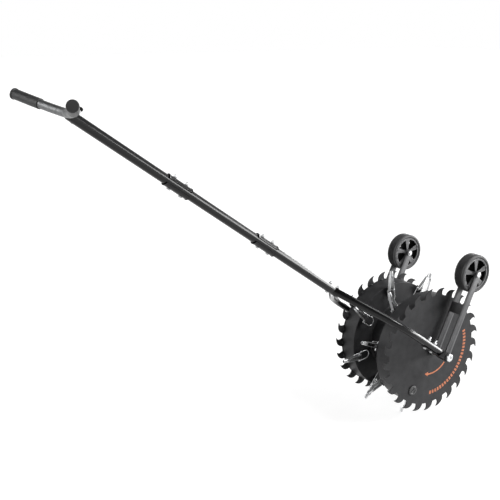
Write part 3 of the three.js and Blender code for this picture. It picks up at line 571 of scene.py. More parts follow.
toned = put(grain_group, "ShaderNodeVectorMath", {"operation": "SCALE"},
            {0: given.outputs["Plastic Color"], "Scale": spread(grain_group, cloud, 0.3, 0.7, 0.88, 1.12)})
grain_group.links.new(blend(grain_group, rubbed_and_highlit, toned.outputs[0], given.outputs["Rubbed And Highlight Color"]),
                      result.inputs["Color"])
dulled = put(grain_group, "ShaderNodeMath", {"operation": "ADD"},
             {0: given.outputs["Gloss Roughness"], 1: spread(grain_group, cloud, 0.3, 0.7, -0.07, 0.07)})
grain_group.links.new(dulled.outputs[0], result.inputs["Roughness"])
bump = put(grain_group, "ShaderNodeBump", inputs={"Strength": given.outputs["Grain Strength"],
                                                  "Distance": 0.0002, "Height": cells.outputs["Distance"]})
grain_group.links.new(bump.outputs[0], result.inputs["Normal"])

nylon = new_material("bush nylon", grain_group,
                     {"Plastic Color": NYLON, "Rubbed And Highlight Color": (0.4, 0.4, 0.39, 1), "Grain Scale": 1600.0,
                      "Grain Strength": 0.15, "Gloss Roughness": 0.42})
for side, side_name in ((1, "left"), (-1, "right")):
    bush = turn(f"{side_name}_bush_nylon", [
        (BUSH_BORE, HUB_TUBE_END - BUSH_DEPTH), (inner - 0.0002, HUB_TUBE_END - BUSH_DEPTH),
        (inner - 0.0002, HUB_TUBE_END + FIT), (BUSH_FLANGE, HUB_TUBE_END + FIT),
        (BUSH_FLANGE, BUSH_END), (BUSH_BORE, BUSH_END)], steps=48, ring=True)
    soften(bush, 0.0006)
    seat(bush, ROTOR @ Matrix.Rotation(math.pi * (side < 0), 4, "X"))
    dress(bush, nylon, "rotor", "bush_plastic", f"{side_name}_hub_bush")


# Filler plug
# A black plastic screw plug in the near disc, with a ribbed rim for the fingers and a bar across its face.
PLUG_FLANGE = 0.0185
PLUG_RIM = 0.003
PLUG_HEIGHT = 0.0052
PLUG_RIBS = 24
PLUG_RIB = 0.0022
PLUG_LIP = PLUG_FLANGE - 0.0012
PLUG_STEP = PLUG_HEIGHT - 0.0012
PLUG_WELL = PLUG_HEIGHT - 0.003
PLUG_BAR = (PLUG_NECK * 1.5, 0.004, 0.0036)
PLUG_BLACK = (0.036, 0.036, 0.037, 1)

plug_plastic = new_material("plug plastic", grain_group,
                            {"Plastic Color": PLUG_BLACK, "Rubbed And Highlight Color": (0.05, 0.05, 0.05, 1),
                             "Grain Scale": 1500.0, "Grain Strength": 0.3, "Gloss Roughness": 0.5})
plug = turn("filler_plug_cap", [
    (0, -0.013), (PLUG_NECK, -0.013), (PLUG_NECK, FIT), (PLUG_LIP, FIT), (PLUG_LIP, PLUG_RIM),
    (PLUG_NECK, PLUG_STEP), (PLUG_NECK - 0.003, PLUG_STEP), (PLUG_NECK - 0.0045, PLUG_WELL),
    (0, PLUG_WELL)], steps=64)
soften(plug, 0.0005)
let_go()
bpy.ops.mesh.primitive_cube_add(size=1, location=(0, 0, PLUG_WELL))
bar = bpy.context.object
bar.scale = PLUG_BAR
bpy.ops.object.transform_apply(scale=True, location=True)
soften(bar, 0.0008)
let_go()
bpy.ops.mesh.primitive_cube_add(size=1, location=(PLUG_FLANGE - PLUG_RIB / 2, 0, PLUG_RIM / 2))
ribs = bpy.context.object
ribs.scale = (PLUG_RIB, PLUG_RIB, PLUG_RIM - 0.0004)
bpy.ops.object.transform_apply(scale=True, location=True)
use(ribs, "BEVEL", width=0.0004, segments=2)
open_up(ribs)
swing(2 * math.pi * (1 - 1 / PLUG_RIBS), steps=PLUG_RIBS - 1, copies=True)
close_up(ribs)
plug = join("filler_plug_cap", plug, bar, ribs)
seat(plug, FLAT @ Matrix.Translation((*plug_place, DISC_OUTSIDE)) @ Matrix.Rotation(math.radians(35), 4, "Z"))
dress(plug, plug_plastic, "rotor", "plug_plastic", "filler_plug")


# Printed marks
# Orange enamel screened on the near disc: a plain band of dashes near the rim, and an arrow round the
# plug's side of the hub that shows which way the drum turns.
BAND_INNER = 0.1565
BAND_OUTER = 0.1695
BAND_FROM, BAND_TO = -90, 18
BAND_DASHES = 24
DASH_FILL = 0.62
ARROW_RADIUS = 0.0895
ARROW_FROM, ARROW_TO = 318, 262
ARROW_HALF = 0.0028
ARROW_TIP = 252
PRINT_LIFT = 0.00006
PRINT_THICKNESS = 0.00012
ORANGE = (0.47, 0.145, 0.058, 1)

print_material = new_material("orange print", film_group,
                              {"Film Color": ORANGE, "Bare And Highlight Color": (0.35, 0.12, 0.05, 1),
                               "Gloss Roughness": 0.45, "Peel": 0.3, "Edge Width": 0.0004, "Edge Wear And Highlight": 0.4})


def spot(radius, angle):
    """A point of the print, by its distance and its angle in degrees round the hub."""
    return arc((0, 0), radius, angle, angle, 1)[:1]


dash_pitch = (BAND_TO - BAND_FROM) / BAND_DASHES
dash_end = BAND_FROM + dash_pitch * DASH_FILL
dash = arc((0, 0), BAND_INNER, BAND_FROM, dash_end, 4) + arc((0, 0), BAND_OUTER, dash_end, BAND_FROM, 4)
band = plate("printed_band", dash, 0, PRINT_THICKNESS)
open_up(band)
swing(math.radians(dash_pitch * (BAND_DASHES - 1)), steps=BAND_DASHES - 1, copies=True)
close_up(band)
arrow = plate("printed_arrow", arc((0, 0), ARROW_RADIUS - ARROW_HALF, ARROW_FROM, ARROW_TO, 20)
              + spot(ARROW_RADIUS - ARROW_HALF * 3, ARROW_TO) + spot(ARROW_RADIUS, ARROW_TIP)
              + spot(ARROW_RADIUS + ARROW_HALF * 3, ARROW_TO)
              + arc((0, 0), ARROW_RADIUS + ARROW_HALF, ARROW_TO, ARROW_FROM, 20), 0, PRINT_THICKNESS)
for mark in (band, arrow):
    seat(mark, FLAT @ Matrix.Translation((0, 0, DISC_OUTSIDE + PRINT_LIFT)))
    dress(mark, print_material, "rotor", "drum_paint")


# Tines
# Sixteen hollow coring tines, forged as a fork whose legs straddle a lug and run into a short tube that is
# ground to an edge. They are bright zinc plated.
TINE_REACH = 0.074
TINE_CROTCH = 0.053
TINE_TAIL = 0.008
TINE_NOSE = 0.0063
TINE_BORE = 0.0048
TINE_EDGE = 0.0006
TINE_EDGE_LENGTH = 0.008
LEG_HALF_WIDTH = 0.0064
LEG_THICKNESS = 0.003
PIN_RADIUS = 0.003
ZINC = (0.60, 0.605, 0.61, 1)

# Zinc plate: soft spangle, fine rubbing marks, and a duller skin in patches
zinc_group, given, result = new_group(
    "zinc plate",
    [("Plate Color", "NodeSocketColor", ZINC), ("Gloss Roughness", "NodeSocketFloat", 0.36),
     ("Marks", "NodeSocketFloat", 0.1)],
    [("Color", "NodeSocketColor"), ("Roughness", "NodeSocketFloat"), ("Normal", "NodeSocketVector")])
object_place = put(zinc_group, "ShaderNodeTexCoord").outputs["Object"]
spangle = put(zinc_group, "ShaderNodeTexVoronoi", inputs={"Vector": object_place, "Scale": 320.0})
cloud = noise(zinc_group, object_place, 85, 4)
marks = noise(zinc_group, object_place, 900, 2)
sheen = put(zinc_group, "ShaderNodeSeparateColor", inputs={0: spangle.outputs["Color"]})
tone = times(zinc_group, spread(zinc_group, sheen.outputs[0], 0, 1, 0.94, 1.04),
             spread(zinc_group, cloud, 0.3, 0.7, 0.86, 1.06))
toned = put(zinc_group, "ShaderNodeVectorMath", {"operation": "SCALE"},
            {0: given.outputs["Plate Color"], "Scale": tone})
zinc_group.links.new(toned.outputs[0], result.inputs["Color"])
dulled = put(zinc_group, "ShaderNodeMath", {"operation": "ADD"},
             {0: given.outputs["Gloss Roughness"], 1: spread(zinc_group, cloud, 0.3, 0.7, 0.12, -0.06)})
zinc_group.links.new(dulled.outputs[0], result.inputs["Roughness"])
bump = put(zinc_group, "ShaderNodeBump", inputs={"Strength": given.outputs["Marks"], "Distance": 0.00006,
                                                 "Height": marks})
zinc_group.links.new(bump.outputs[0], result.inputs["Normal"])
zinc = new_material("zinc plate", zinc_group, {"Plate Color": ZINC}, Metallic=1.0)


def drill(piece, radius, place, length=0.2):
    """A round hole through the piece, along the place's Z."""
    let_go()
    bpy.ops.mesh.primitive_cylinder_add(vertices=32, radius=radius, depth=length)
    tool = bpy.context.object
    seat(tool, place)
    use(piece, "BOOLEAN", object=tool, operation="DIFFERENCE", solver="EXACT")
    bpy.data.objects.remove(tool)


def merge(piece, other, operation="UNION"):
    use(piece, "BOOLEAN", object=other, operation=operation, solver="EXACT")
    bpy.data.objects.remove(other)


leg_slope = (LUG_HALF + FIT - TINE_BORE) / (TINE_CROTCH - 0.010)
leg_inside = TINE_BORE + leg_slope * (TINE_CROTCH + TINE_TAIL)
leg_outside = leg_inside + LEG_THICKNESS
tube_foot, leg_top = TINE_CROTCH - 0.004, TINE_CROTCH + 0.004
tine = turn("tine", [(0, tube_foot), (TINE_NOSE - 0.001, tube_foot), (TINE_NOSE, TINE_CROTCH),
                     (TINE_NOSE, TINE_REACH - TINE_EDGE_LENGTH), (TINE_BORE + TINE_EDGE, TINE_REACH),
                     (0, TINE_REACH)], steps=32)
for direction in (1, -1):
    leg = plate("leg", [(direction * leg_inside, -TINE_TAIL), (direction * leg_outside, -TINE_TAIL),
                        (direction * TINE_NOSE, leg_top), (direction * TINE_BORE, leg_top)],
                -LEG_HALF_WIDTH, LEG_HALF_WIDTH)
    seat(leg, Matrix.Rotation(math.pi / 2, 4, "X"))
    eye = plate("eye", arc((0, -TINE_TAIL + LEG_HALF_WIDTH), LEG_HALF_WIDTH, 180, 360, 16)
                + [(LEG_HALF_WIDTH, TINE_REACH), (-LEG_HALF_WIDTH, TINE_REACH)], -0.02, 0.02)
    seat(eye, Matrix.Rotation(math.pi / 2, 4, "Z") @ Matrix.Rotation(math.pi / 2, 4, "X"))
    merge(leg, eye, "INTERSECT")
    merge(tine, leg)
drill(tine, TINE_BORE, Matrix.Translation((0, 0, TINE_CROTCH - 0.0045 + 0.05)), 0.1)
drill(tine, PIN_RADIUS + 0.0002, ALONG_X)
soften(tine, 0.00035, segments=2, angle=35)
for number, side, station in stations():
    dress(again(tine, f"tine_{number}_forging", station), zinc, "rotor", "zinc", f"tine_{number}")
bpy.data.objects.remove(tine)


# Lock pins
# A cross pin through each lug and tine, held by a bail of spring wire that hooks through one end of the
# pin, loops back over the chamber and snaps on the other end. Zinc plated.
PIN_HALF = 0.017
PIN_CHAMFER = 0.0006
WIRE_RADIUS = 0.0015
BAIL_TURN = 0.0275
BAIL_TAIL = 0.025
BAIL_TILT = math.radians(-8)

pin = turn("lock_pin", [
    (0, -PIN_HALF), (PIN_RADIUS - PIN_CHAMFER, -PIN_HALF), (PIN_RADIUS, -PIN_HALF + PIN_CHAMFER),
    (PIN_RADIUS, PIN_HALF - PIN_CHAMFER), (PIN_RADIUS - PIN_CHAMFER, PIN_HALF), (0, PIN_HALF)], steps=24)
smooth(pin)
seat(pin, ALONG_X)
bail_half = PIN_HALF - WIRE_RADIUS
let_go()
bpy.ops.mesh.primitive_circle_add(vertices=12, radius=WIRE_RADIUS, fill_type="NGON",
                                  location=(bail_half, 0, BAIL_TAIL))
bail = bpy.context.object
bpy.ops.object.transform_apply(location=True)
bpy.ops.object.mode_set(mode="EDIT")
bpy.ops.mesh.select_all(action="SELECT")
bpy.ops.mesh.extrude_region_move(TRANSFORM_OT_translate={"value": (0, 0, -BAIL_TAIL - BAIL_TURN)})
swing(math.pi, (0, 0, -BAIL_TURN), (0, 1, 0), steps=20)
bpy.ops.mesh.extrude_region_move(TRANSFORM_OT_translate={"value": (0, 0, BAIL_TURN + PIN_RADIUS)})
close_up(bail)
soften(bail, 0.0004, angle=60)
seat(bail, Matrix.Rotation(BAIL_TILT, 4, "Y"))
pin = join("lock_pin", pin, bail)
for number, side, station in stations():
    dress(again(pin, f"lock_pin_{number}_wire", station), zinc, "rotor", "zinc", f"lock_pin_{number}")
bpy.data.objects.remove(pin)


# Axle
# A 16 mm bolt right through the drum and the channels, its head on the near side and its nut on the far
# side. Zinc plated steel.
AXLE_RADIUS = 0.008
AXLE_FACE = 0.2098
AXLE_END = 0.2208
AXLE_ACROSS = 0.026
AXLE_HEAD = 0.008
AXLE_THREAD = 0.030


def hexagon(name, across, height, dimple=0.0):
    """A forged hexagon standing on the XY plane, its corners turned off, with a dimple in its face."""
    let_go()
    bpy.ops.mesh.primitive_cylinder_add(vertices=6, radius=across / math.sqrt(3), depth=height,
                                        location=(0, 0, height / 2))
    head = bpy.context.object
    head.name = name
    bpy.ops.object.transform_apply(location=True)
    corner, lip = across / math.sqrt(3), across * 0.475
    drop = (corner * 1.02 - lip) * 0.55
    turned = turn("turned_off", [
        (0, -0.001), (corner * 1.02, -0.001), (corner * 1.02, height - drop), (lip, height),
        (dimple + 0.0004, height), (dimple, height - dimple * 0.35), (0, height - dimple * 0.35)], steps=48)
    merge(head, turned, "INTERSECT")
    soften(head, 0.0003)
    return head


def thread(name, radius, bottom, top, pitch=0.0015):
    """A rolled thread's crests and roots, ending in a chamfer."""
    turns = max(2, round((top - bottom) / pitch))
    step = (top - bottom) / turns
    ridges = []
    for ridge in range(turns):
        ridges += [(radius * 0.87, bottom + ridge * step), (radius, bottom + (ridge + 0.5) * step)]
    return turn(name, [(0, bottom)] + ridges + [(radius * 0.8, top), (0, top)], steps=24)


axle = turn("axle_steel", [(0, -AXLE_FACE - 0.001), (AXLE_RADIUS, -AXLE_FACE - 0.001),
                           (AXLE_RADIUS, AXLE_FACE - AXLE_THREAD), (0, AXLE_FACE - AXLE_THREAD)], steps=40)
smooth(axle)
axle_head = hexagon("axle_head", AXLE_ACROSS, AXLE_HEAD, dimple=0.006)
seat(axle_head, Matrix.Translation((0, 0, -AXLE_FACE)) @ Matrix.Rotation(math.pi, 4, "X"))
axle_thread = thread("axle_thread", AXLE_RADIUS, AXLE_FACE - AXLE_THREAD, AXLE_END, 0.002)
axle = join("axle_steel", axle, axle_head, axle_thread)
seat(axle, ROTOR)
dress(axle, zinc, "frame", "zinc", "axle")
axle_nut = hexagon("axle_nut_steel", AXLE_ACROSS, AXLE_HEAD)
drill(axle_nut, AXLE_RADIUS * 0.9, Matrix.Identity(4))
seat(axle_nut, ROTOR @ Matrix.Translation((0, 0, AXLE_FACE)))
dress(axle_nut, zinc, "frame", "zinc", "axle_nut")


# Fork
# Two bent arms of 25 mm tube welded to a neck that fits in the pole's foot. Powder coated charcoal, glossier
# than the drum, and bolted to the pole with two zinc bolts.
HANDLE_ANGLE = math.radians(35.4)
FORK_RADIUS = 0.0127
FORK_WALL = 0.0016
FORK_HALF_WIDTH = 0.194
FORK_FOOT = 0.038
FORK_APEX = 0.436
FORK_BEND = 0.145
POLE_RADIUS = 0.0151
POLE_WALL = 0.0015
CROWN_JOINT = 0.438
BUTT_GAP = 0.00015
NECK_BOTTOM = 0.405
NECK_SPIGOT = 0.045
CROWN_BOLTS = (CROWN_JOINT - 0.019, CROWN_JOINT + 0.019)
BOLT_RADIUS = 0.004
BOLT_ACROSS = 0.0115
BOLT_HEAD = 0.004
NUT_HEIGHT = 0.0055
BOLT_END = 0.003
HANDLE = Matrix.Translation(AXLE) @ Matrix.Rotation(HANDLE_ANGLE - math.pi / 2, 4, "Y")

frame_paint = new_material("charcoal frame paint", film_group,
                           {"Film Color": (0.008, 0.008, 0.0085, 1), "Gloss Roughness": 0.18, "Peel": 0.1,
                            "Edge Width": 0.0008, "Edge Wear And Highlight": 0.3}, Specular_IOR_Level=0.3)
bend_start = FORK_APEX - FORK_HALF_WIDTH - FORK_BEND * math.tan(math.pi / 8)
arms = []
for side in (1, -1):
    let_go()
    bpy.ops.mesh.primitive_circle_add(vertices=32, radius=FORK_RADIUS, fill_type="NGON",
                                      location=(0, side * FORK_HALF_WIDTH, FORK_FOOT))
    arm = bpy.context.object
    bpy.ops.object.transform_apply(location=True)
    bpy.ops.object.mode_set(mode="EDIT")
    bpy.ops.mesh.select_all(action="SELECT")
    bpy.ops.mesh.extrude_region_move(TRANSFORM_OT_translate={"value": (0, 0, bend_start - FORK_FOOT)})
    swing(math.pi / 4, (0, side * (FORK_HALF_WIDTH - FORK_BEND), bend_start), (side, 0, 0), steps=14)
    bend_end = FORK_HALF_WIDTH - FORK_BEND * (1 - math.cos(math.pi / 4))
    bpy.ops.mesh.extrude_region_move(TRANSFORM_OT_translate={"value": (0, -side * bend_end, bend_end)})
    close_up(arm)
    drill(arm, FORK_RADIUS - FORK_WALL, Matrix.Translation((0, side * FORK_HALF_WIDTH, FORK_FOOT)),
          length=0.08)
    smooth(arm)
    arms.append(arm)
spigot, shoulder = POLE_RADIUS - POLE_WALL - FIT, CROWN_JOINT - BUTT_GAP
neck = turn("neck", [(0, NECK_BOTTOM), (POLE_RADIUS, NECK_BOTTOM), (POLE_RADIUS, shoulder), (spigot, shoulder),
                     (spigot, CROWN_JOINT + NECK_SPIGOT), (0, CROWN_JOINT + NECK_SPIGOT)], steps=48)
soften(neck, 0.0006)
# The arms' upper ends are trimmed where they would come through the neck's top
for arm in arms:
    open_up(arm)
    bpy.ops.mesh.bisect(plane_co=(0, 0, CROWN_JOINT - 0.0006), plane_no=(0, 0, 1), use_fill=True,
                        clear_outer=True)
    close_up(arm)
fork = join("fork_steel", neck, *arms)
seat(fork, HANDLE)
dress(fork, frame_paint, "frame", "frame_paint", "fork")


def bolt(name, under, top, end, radius=BOLT_RADIUS, across=BOLT_ACROSS, head=BOLT_HEAD, nut=NUT_HEIGHT):
    """A bolt along Z: its head hangs below one height and its nut sits on the other."""
    cap = hexagon(name, across, head, dimple=across * 0.22)
    seat(cap, Matrix.Translation((0, 0, under)) @ Matrix.Rotation(math.pi, 4, "X"))
    shank = thread("shank", radius, under, top + nut + end, 0.00125)
    hexnut = hexagon("nut", across, nut)
    seat(hexnut, Matrix.Translation((0, 0, top)) @ Matrix.Rotation(math.radians(17), 4, "Z"))
    return join(name, cap, shank, hexnut)


crown_bolt = bolt("crown_bolt", -POLE_RADIUS - FIT, POLE_RADIUS + FIT, BOLT_END)
seat(crown_bolt, ALONG_X)
for number, height in enumerate(CROWN_BOLTS, 1):
    screw = again(crown_bolt, f"crown_bolt_{number}", HANDLE @ Matrix.Translation((0, 0, height)))
    dress(screw, zinc, "frame", "zinc")
bpy.data.objects.remove(crown_bolt)


# Wheel brackets
# On each side two flat steel arms with a web between them hold the transport wheel; they turn up from the
# axle. A folded channel goes round the axle and is bolted under the fork's foot.
ARM_ANGLE = math.radians(80)
WHEEL_DISTANCE = 0.3055
ARM_HALF_WIDTH = 0.014
ARM_SHIFT = 0.0028
ARM_THICKNESS = 0.004
INNER_ARM = 0.147
OUTER_ARM = 0.197
WEB_BOTTOM, WEB_TOP = 0.152, 0.190
WHEEL_BOLT_RADIUS = 0.005
CHANNEL_ROOM = FORK_RADIUS + FIT
CHANNEL_SHEET = 0.0025
CHANNEL_LENGTH = 0.125
CHEEK_RADIUS = 0.014
CHEEK_LENGTH = 0.047
STRIP_HALF_WIDTH = 0.010
ARM_BOLTS = (0.078, 0.112)
ARM_BOLT_END = 0.009
WHEEL_ARM = HANDLE @ Matrix.Rotation(ARM_ANGLE, 4, "Y")
UPRIGHT = Matrix.Rotation(math.pi / 2, 4, "X")

# The arms and the channel wear one paint; the arms' copy is paler, painted light for the light they catch
bracket_paint = new_material("bracket paint lightened as painted light", film_group,
                             {"Film Color": (0.098, 0.098, 0.101, 1), "Gloss Roughness": 0.42, "Peel": 0.25,
                              "Edge Width": 0.0007, "Edge Wear And Highlight": 0.2}, Specular_IOR_Level=0.2)
channel_paint = new_material("black channel paint", film_group,
                             {"Film Color": (0.008, 0.008, 0.0085, 1), "Gloss Roughness": 0.45, "Peel": 0.3,
                              "Edge Width": 0.0007, "Edge Wear And Highlight": 0.2}, Specular_IOR_Level=0.2)


def block(name, corner, opposite, softness):
    """A rectangular piece between two corners, its edges broken."""
    let_go()
    middle = [(a + b) / 2 for a, b in zip(corner, opposite)]
    bpy.ops.mesh.primitive_cube_add(size=1, location=middle)
    piece = bpy.context.object
    piece.name = name
    piece.scale = [abs(b - a) for a, b in zip(corner, opposite)]
    bpy.ops.object.transform_apply(location=True, scale=True)
    soften(piece, softness)
    return piece


def side_plate(name, outline, middle, thickness, holes):
    """A plate that stands lengthways in the machine, its middle that far to the side."""
    piece = plate(name, outline, middle - thickness / 2, middle + thickness / 2, holes)
    soften(piece, 0.0005)
    seat(piece, Matrix.Diagonal((1, -1, 1, 1)) @ UPRIGHT)
    open_up(piece)
    return close_up(piece)


arm_outline = (arc((ARM_SHIFT, 0), ARM_HALF_WIDTH, 180, 360, 24)
               + arc((ARM_SHIFT, WHEEL_DISTANCE), ARM_HALF_WIDTH, 0, 180, 24))
axle_hole = (0, 0, AXLE_RADIUS + FIT)
arm_holes = [axle_hole, (0, WHEEL_DISTANCE, WHEEL_BOLT_RADIUS + FIT)]
floor_outer, floor_inner = -CHANNEL_ROOM - CHANNEL_SHEET, -CHANNEL_ROOM
cheek_outline = (arc((0, 0), CHEEK_RADIUS, 180, 360, 28)
                 + [(CHEEK_RADIUS, CHEEK_LENGTH * 0.45)]
                 + arc((CHEEK_RADIUS - 0.006, CHEEK_LENGTH * 0.5), 0.006, 0, 40, 5)
                 + [(floor_inner, CHEEK_LENGTH), (floor_outer, CHEEK_LENGTH), (floor_outer, 0)])
for side, side_name in ((1, "left"), (-1, "right")):
    flats = [side_plate("arm", arm_outline, side * offset, ARM_THICKNESS, arm_holes)
             for offset in (INNER_ARM, OUTER_ARM)]
    web = block("web", (ARM_SHIFT - ARM_HALF_WIDTH, side * INNER_ARM, WEB_BOTTOM),
                (ARM_SHIFT - ARM_HALF_WIDTH + ARM_THICKNESS, side * OUTER_ARM, WEB_TOP), 0.0006)
    carrier = join(f"{side_name}_wheel_arms", *flats, web)
    smooth(carrier)
    seat(carrier, WHEEL_ARM)
    dress(carrier, bracket_paint, "frame", "bracket_paint", f"{side_name}_wheel_bracket")

    reach = CHANNEL_ROOM + CHANNEL_SHEET / 2
    cheeks = [side_plate("cheek", cheek_outline, side * FORK_HALF_WIDTH + edge * reach, CHANNEL_SHEET,
                         [axle_hole]) for edge in (-1, 1)]
    pan_half = CHANNEL_ROOM + CHANNEL_SHEET
    pan = block("pan", (floor_outer, side * FORK_HALF_WIDTH - pan_half, -CHEEK_RADIUS / 2),
                (floor_inner, side * FORK_HALF_WIDTH + pan_half, CHEEK_LENGTH), 0.0009)
    strip_plate = block("strip", (floor_outer, side * FORK_HALF_WIDTH - STRIP_HALF_WIDTH, 0),
                        (floor_inner, side * FORK_HALF_WIDTH + STRIP_HALF_WIDTH, CHANNEL_LENGTH), 0.0006)
    channel = join(f"{side_name}_fork_channel", *cheeks, pan, strip_plate)
    smooth(channel)
    seat(channel, HANDLE)
    dress(channel, channel_paint, "frame", "bracket_paint")

arm_bolt = bolt("arm_bolt", floor_outer, FORK_RADIUS, ARM_BOLT_END)
seat(arm_bolt, ALONG_X)
for side, side_name in ((1, "left"), (-1, "right")):
    for number, height in enumerate(ARM_BOLTS, 1):
        screw = again(arm_bolt, f"{side_name}_arm_bolt_{number}",
                      HANDLE @ Matrix.Translation((0, side * FORK_HALF_WIDTH, height)))
        dress(screw, zinc, "frame", "zinc")
bpy.data.objects.remove(arm_bolt)


# Transport wheels
# A ribbed rubber tyre on a grey moulded hub with five spokes that widen towards the rim. Between the spokes'
# two faces lies a black core, painted shade that darkens the openings' walls. Each wheel turns on a zinc bolt
# through its bracket's arms.
TYRE_RADIUS = 0.068
TYRE_HALF = 0.021
TYRE_SHOULDER = 0.005
TREAD_RIBS = 7
TREAD_GROOVE = 0.0019
TREAD_DEPTH = 0.0030
HUB_RADIUS = 0.0565
HUB_HALF = 0.019
HUB_RIM = 0.0065
BOSS_RADIUS = 0.0095
SPOKE_ROOT = 0.0055
SPOKE_WIDE = 0.019
SPOKE_RECESS = 0.002
SPOKE_THICKNESS = 0.0025
CORE_LINING = 0.0015
OPENING_DEPTH = 0.03
WHEEL_BOLT_ACROSS = 0.017
WHEEL_BOLT_HEAD = 0.006
WHEEL_OFFSET = 0.172
RUBBER = (0.040, 0.040, 0.041, 1)
# A near-black: the handlebar bolt's real rubber cap, and painted shade on the wheel hubs' cores
CAP_AND_SHADE_BLACK = (0.004, 0.004, 0.004, 1)
HUB_GREY = (0.095, 0.095, 0.098, 1)

rubber = new_material("tyre rubber", grain_group,
                      {"Plastic Color": RUBBER, "Rubbed And Highlight Color": (0.12, 0.12, 0.12, 1), "Rubbed": 0.5,
                       "Grain Scale": 420.0, "Grain Strength": 1.0, "Gloss Roughness": 0.55})
hub_plastic = new_material("hub plastic", grain_group,
                           {"Plastic Color": HUB_GREY, "Rubbed And Highlight Color": (0.2, 0.2, 0.2, 1),
                            "Grain Scale": 1500.0, "Grain Strength": 0.25, "Gloss Roughness": 0.45})
# Near-black plastic for the bolt cap; in the wheels it is painted shade between the spokes' faces
cap_and_shade_plastic = new_material("black cap plastic and painted shade", grain_group,
                            {"Plastic Color": CAP_AND_SHADE_BLACK, "Rubbed And Highlight Color": CAP_AND_SHADE_BLACK, "Grain Scale": 1500.0,
                             "Grain Strength": 0.1, "Gloss Roughness": 0.7}, Specular_IOR_Level=0.05)
flank = HUB_RADIUS + FIT
crown = [(flank, -TYRE_HALF + 0.004), (flank + 0.0015, -TYRE_HALF + 0.001), (flank + 0.003, -TYRE_HALF),
         (TYRE_RADIUS - TYRE_SHOULDER, -TYRE_HALF)]
crown += [(TYRE_RADIUS - TYRE_SHOULDER + x, -TYRE_HALF + TYRE_SHOULDER + y)
          for x, y in arc((0, 0), TYRE_SHOULDER, -72, -18, 3)]
crown += [(TYRE_RADIUS, -TYRE_HALF + TYRE_SHOULDER)]
tread_width = 2 * (TYRE_HALF - TYRE_SHOULDER)
for groove in range(1, TREAD_RIBS):
    middle = -TYRE_HALF + TYRE_SHOULDER + tread_width * groove / TREAD_RIBS
    crown += [(TYRE_RADIUS, middle - TREAD_GROOVE), (TYRE_RADIUS - TREAD_DEPTH, middle - TREAD_GROOVE / 2),
              (TYRE_RADIUS - TREAD_DEPTH, middle + TREAD_GROOVE / 2), (TYRE_RADIUS, middle + TREAD_GROOVE)]
crown += [(TYRE_RADIUS, TYRE_HALF - TYRE_SHOULDER)]
crown += [(TYRE_RADIUS - TYRE_SHOULDER + x, TYRE_HALF - TYRE_SHOULDER + y)
          for x, y in arc((0, 0), TYRE_SHOULDER, 18, 72, 3)]
crown += [(TYRE_RADIUS - TYRE_SHOULDER, TYRE_HALF), (flank + 0.003, TYRE_HALF),
          (flank + 0.0015, TYRE_HALF - 0.001), (flank, TYRE_HALF - 0.004)]
rim_inside = HUB_RADIUS - HUB_RIM
root_span = 36 - math.degrees(math.asin(SPOKE_ROOT / 2 / BOSS_RADIUS))
rim_span = 36 - math.degrees(math.asin(SPOKE_WIDE / 2 / rim_inside))


def cut_openings(piece, reach, wider=0):
    """Cuts the five openings between the spokes right through, a little wider for what lies inside."""
    for spoke in range(5):
        middle = 90 + 72 * (spoke + 0.5)
        outline = arc((0, 0), reach, middle - rim_span - wider, middle + rim_span + wider, 12)
        outline += arc((0, 0), BOSS_RADIUS, middle + root_span + wider, middle - root_span - wider, 3)
        merge(piece, plate("opening", outline, -OPENING_DEPTH, OPENING_DEPTH), "DIFFERENCE")


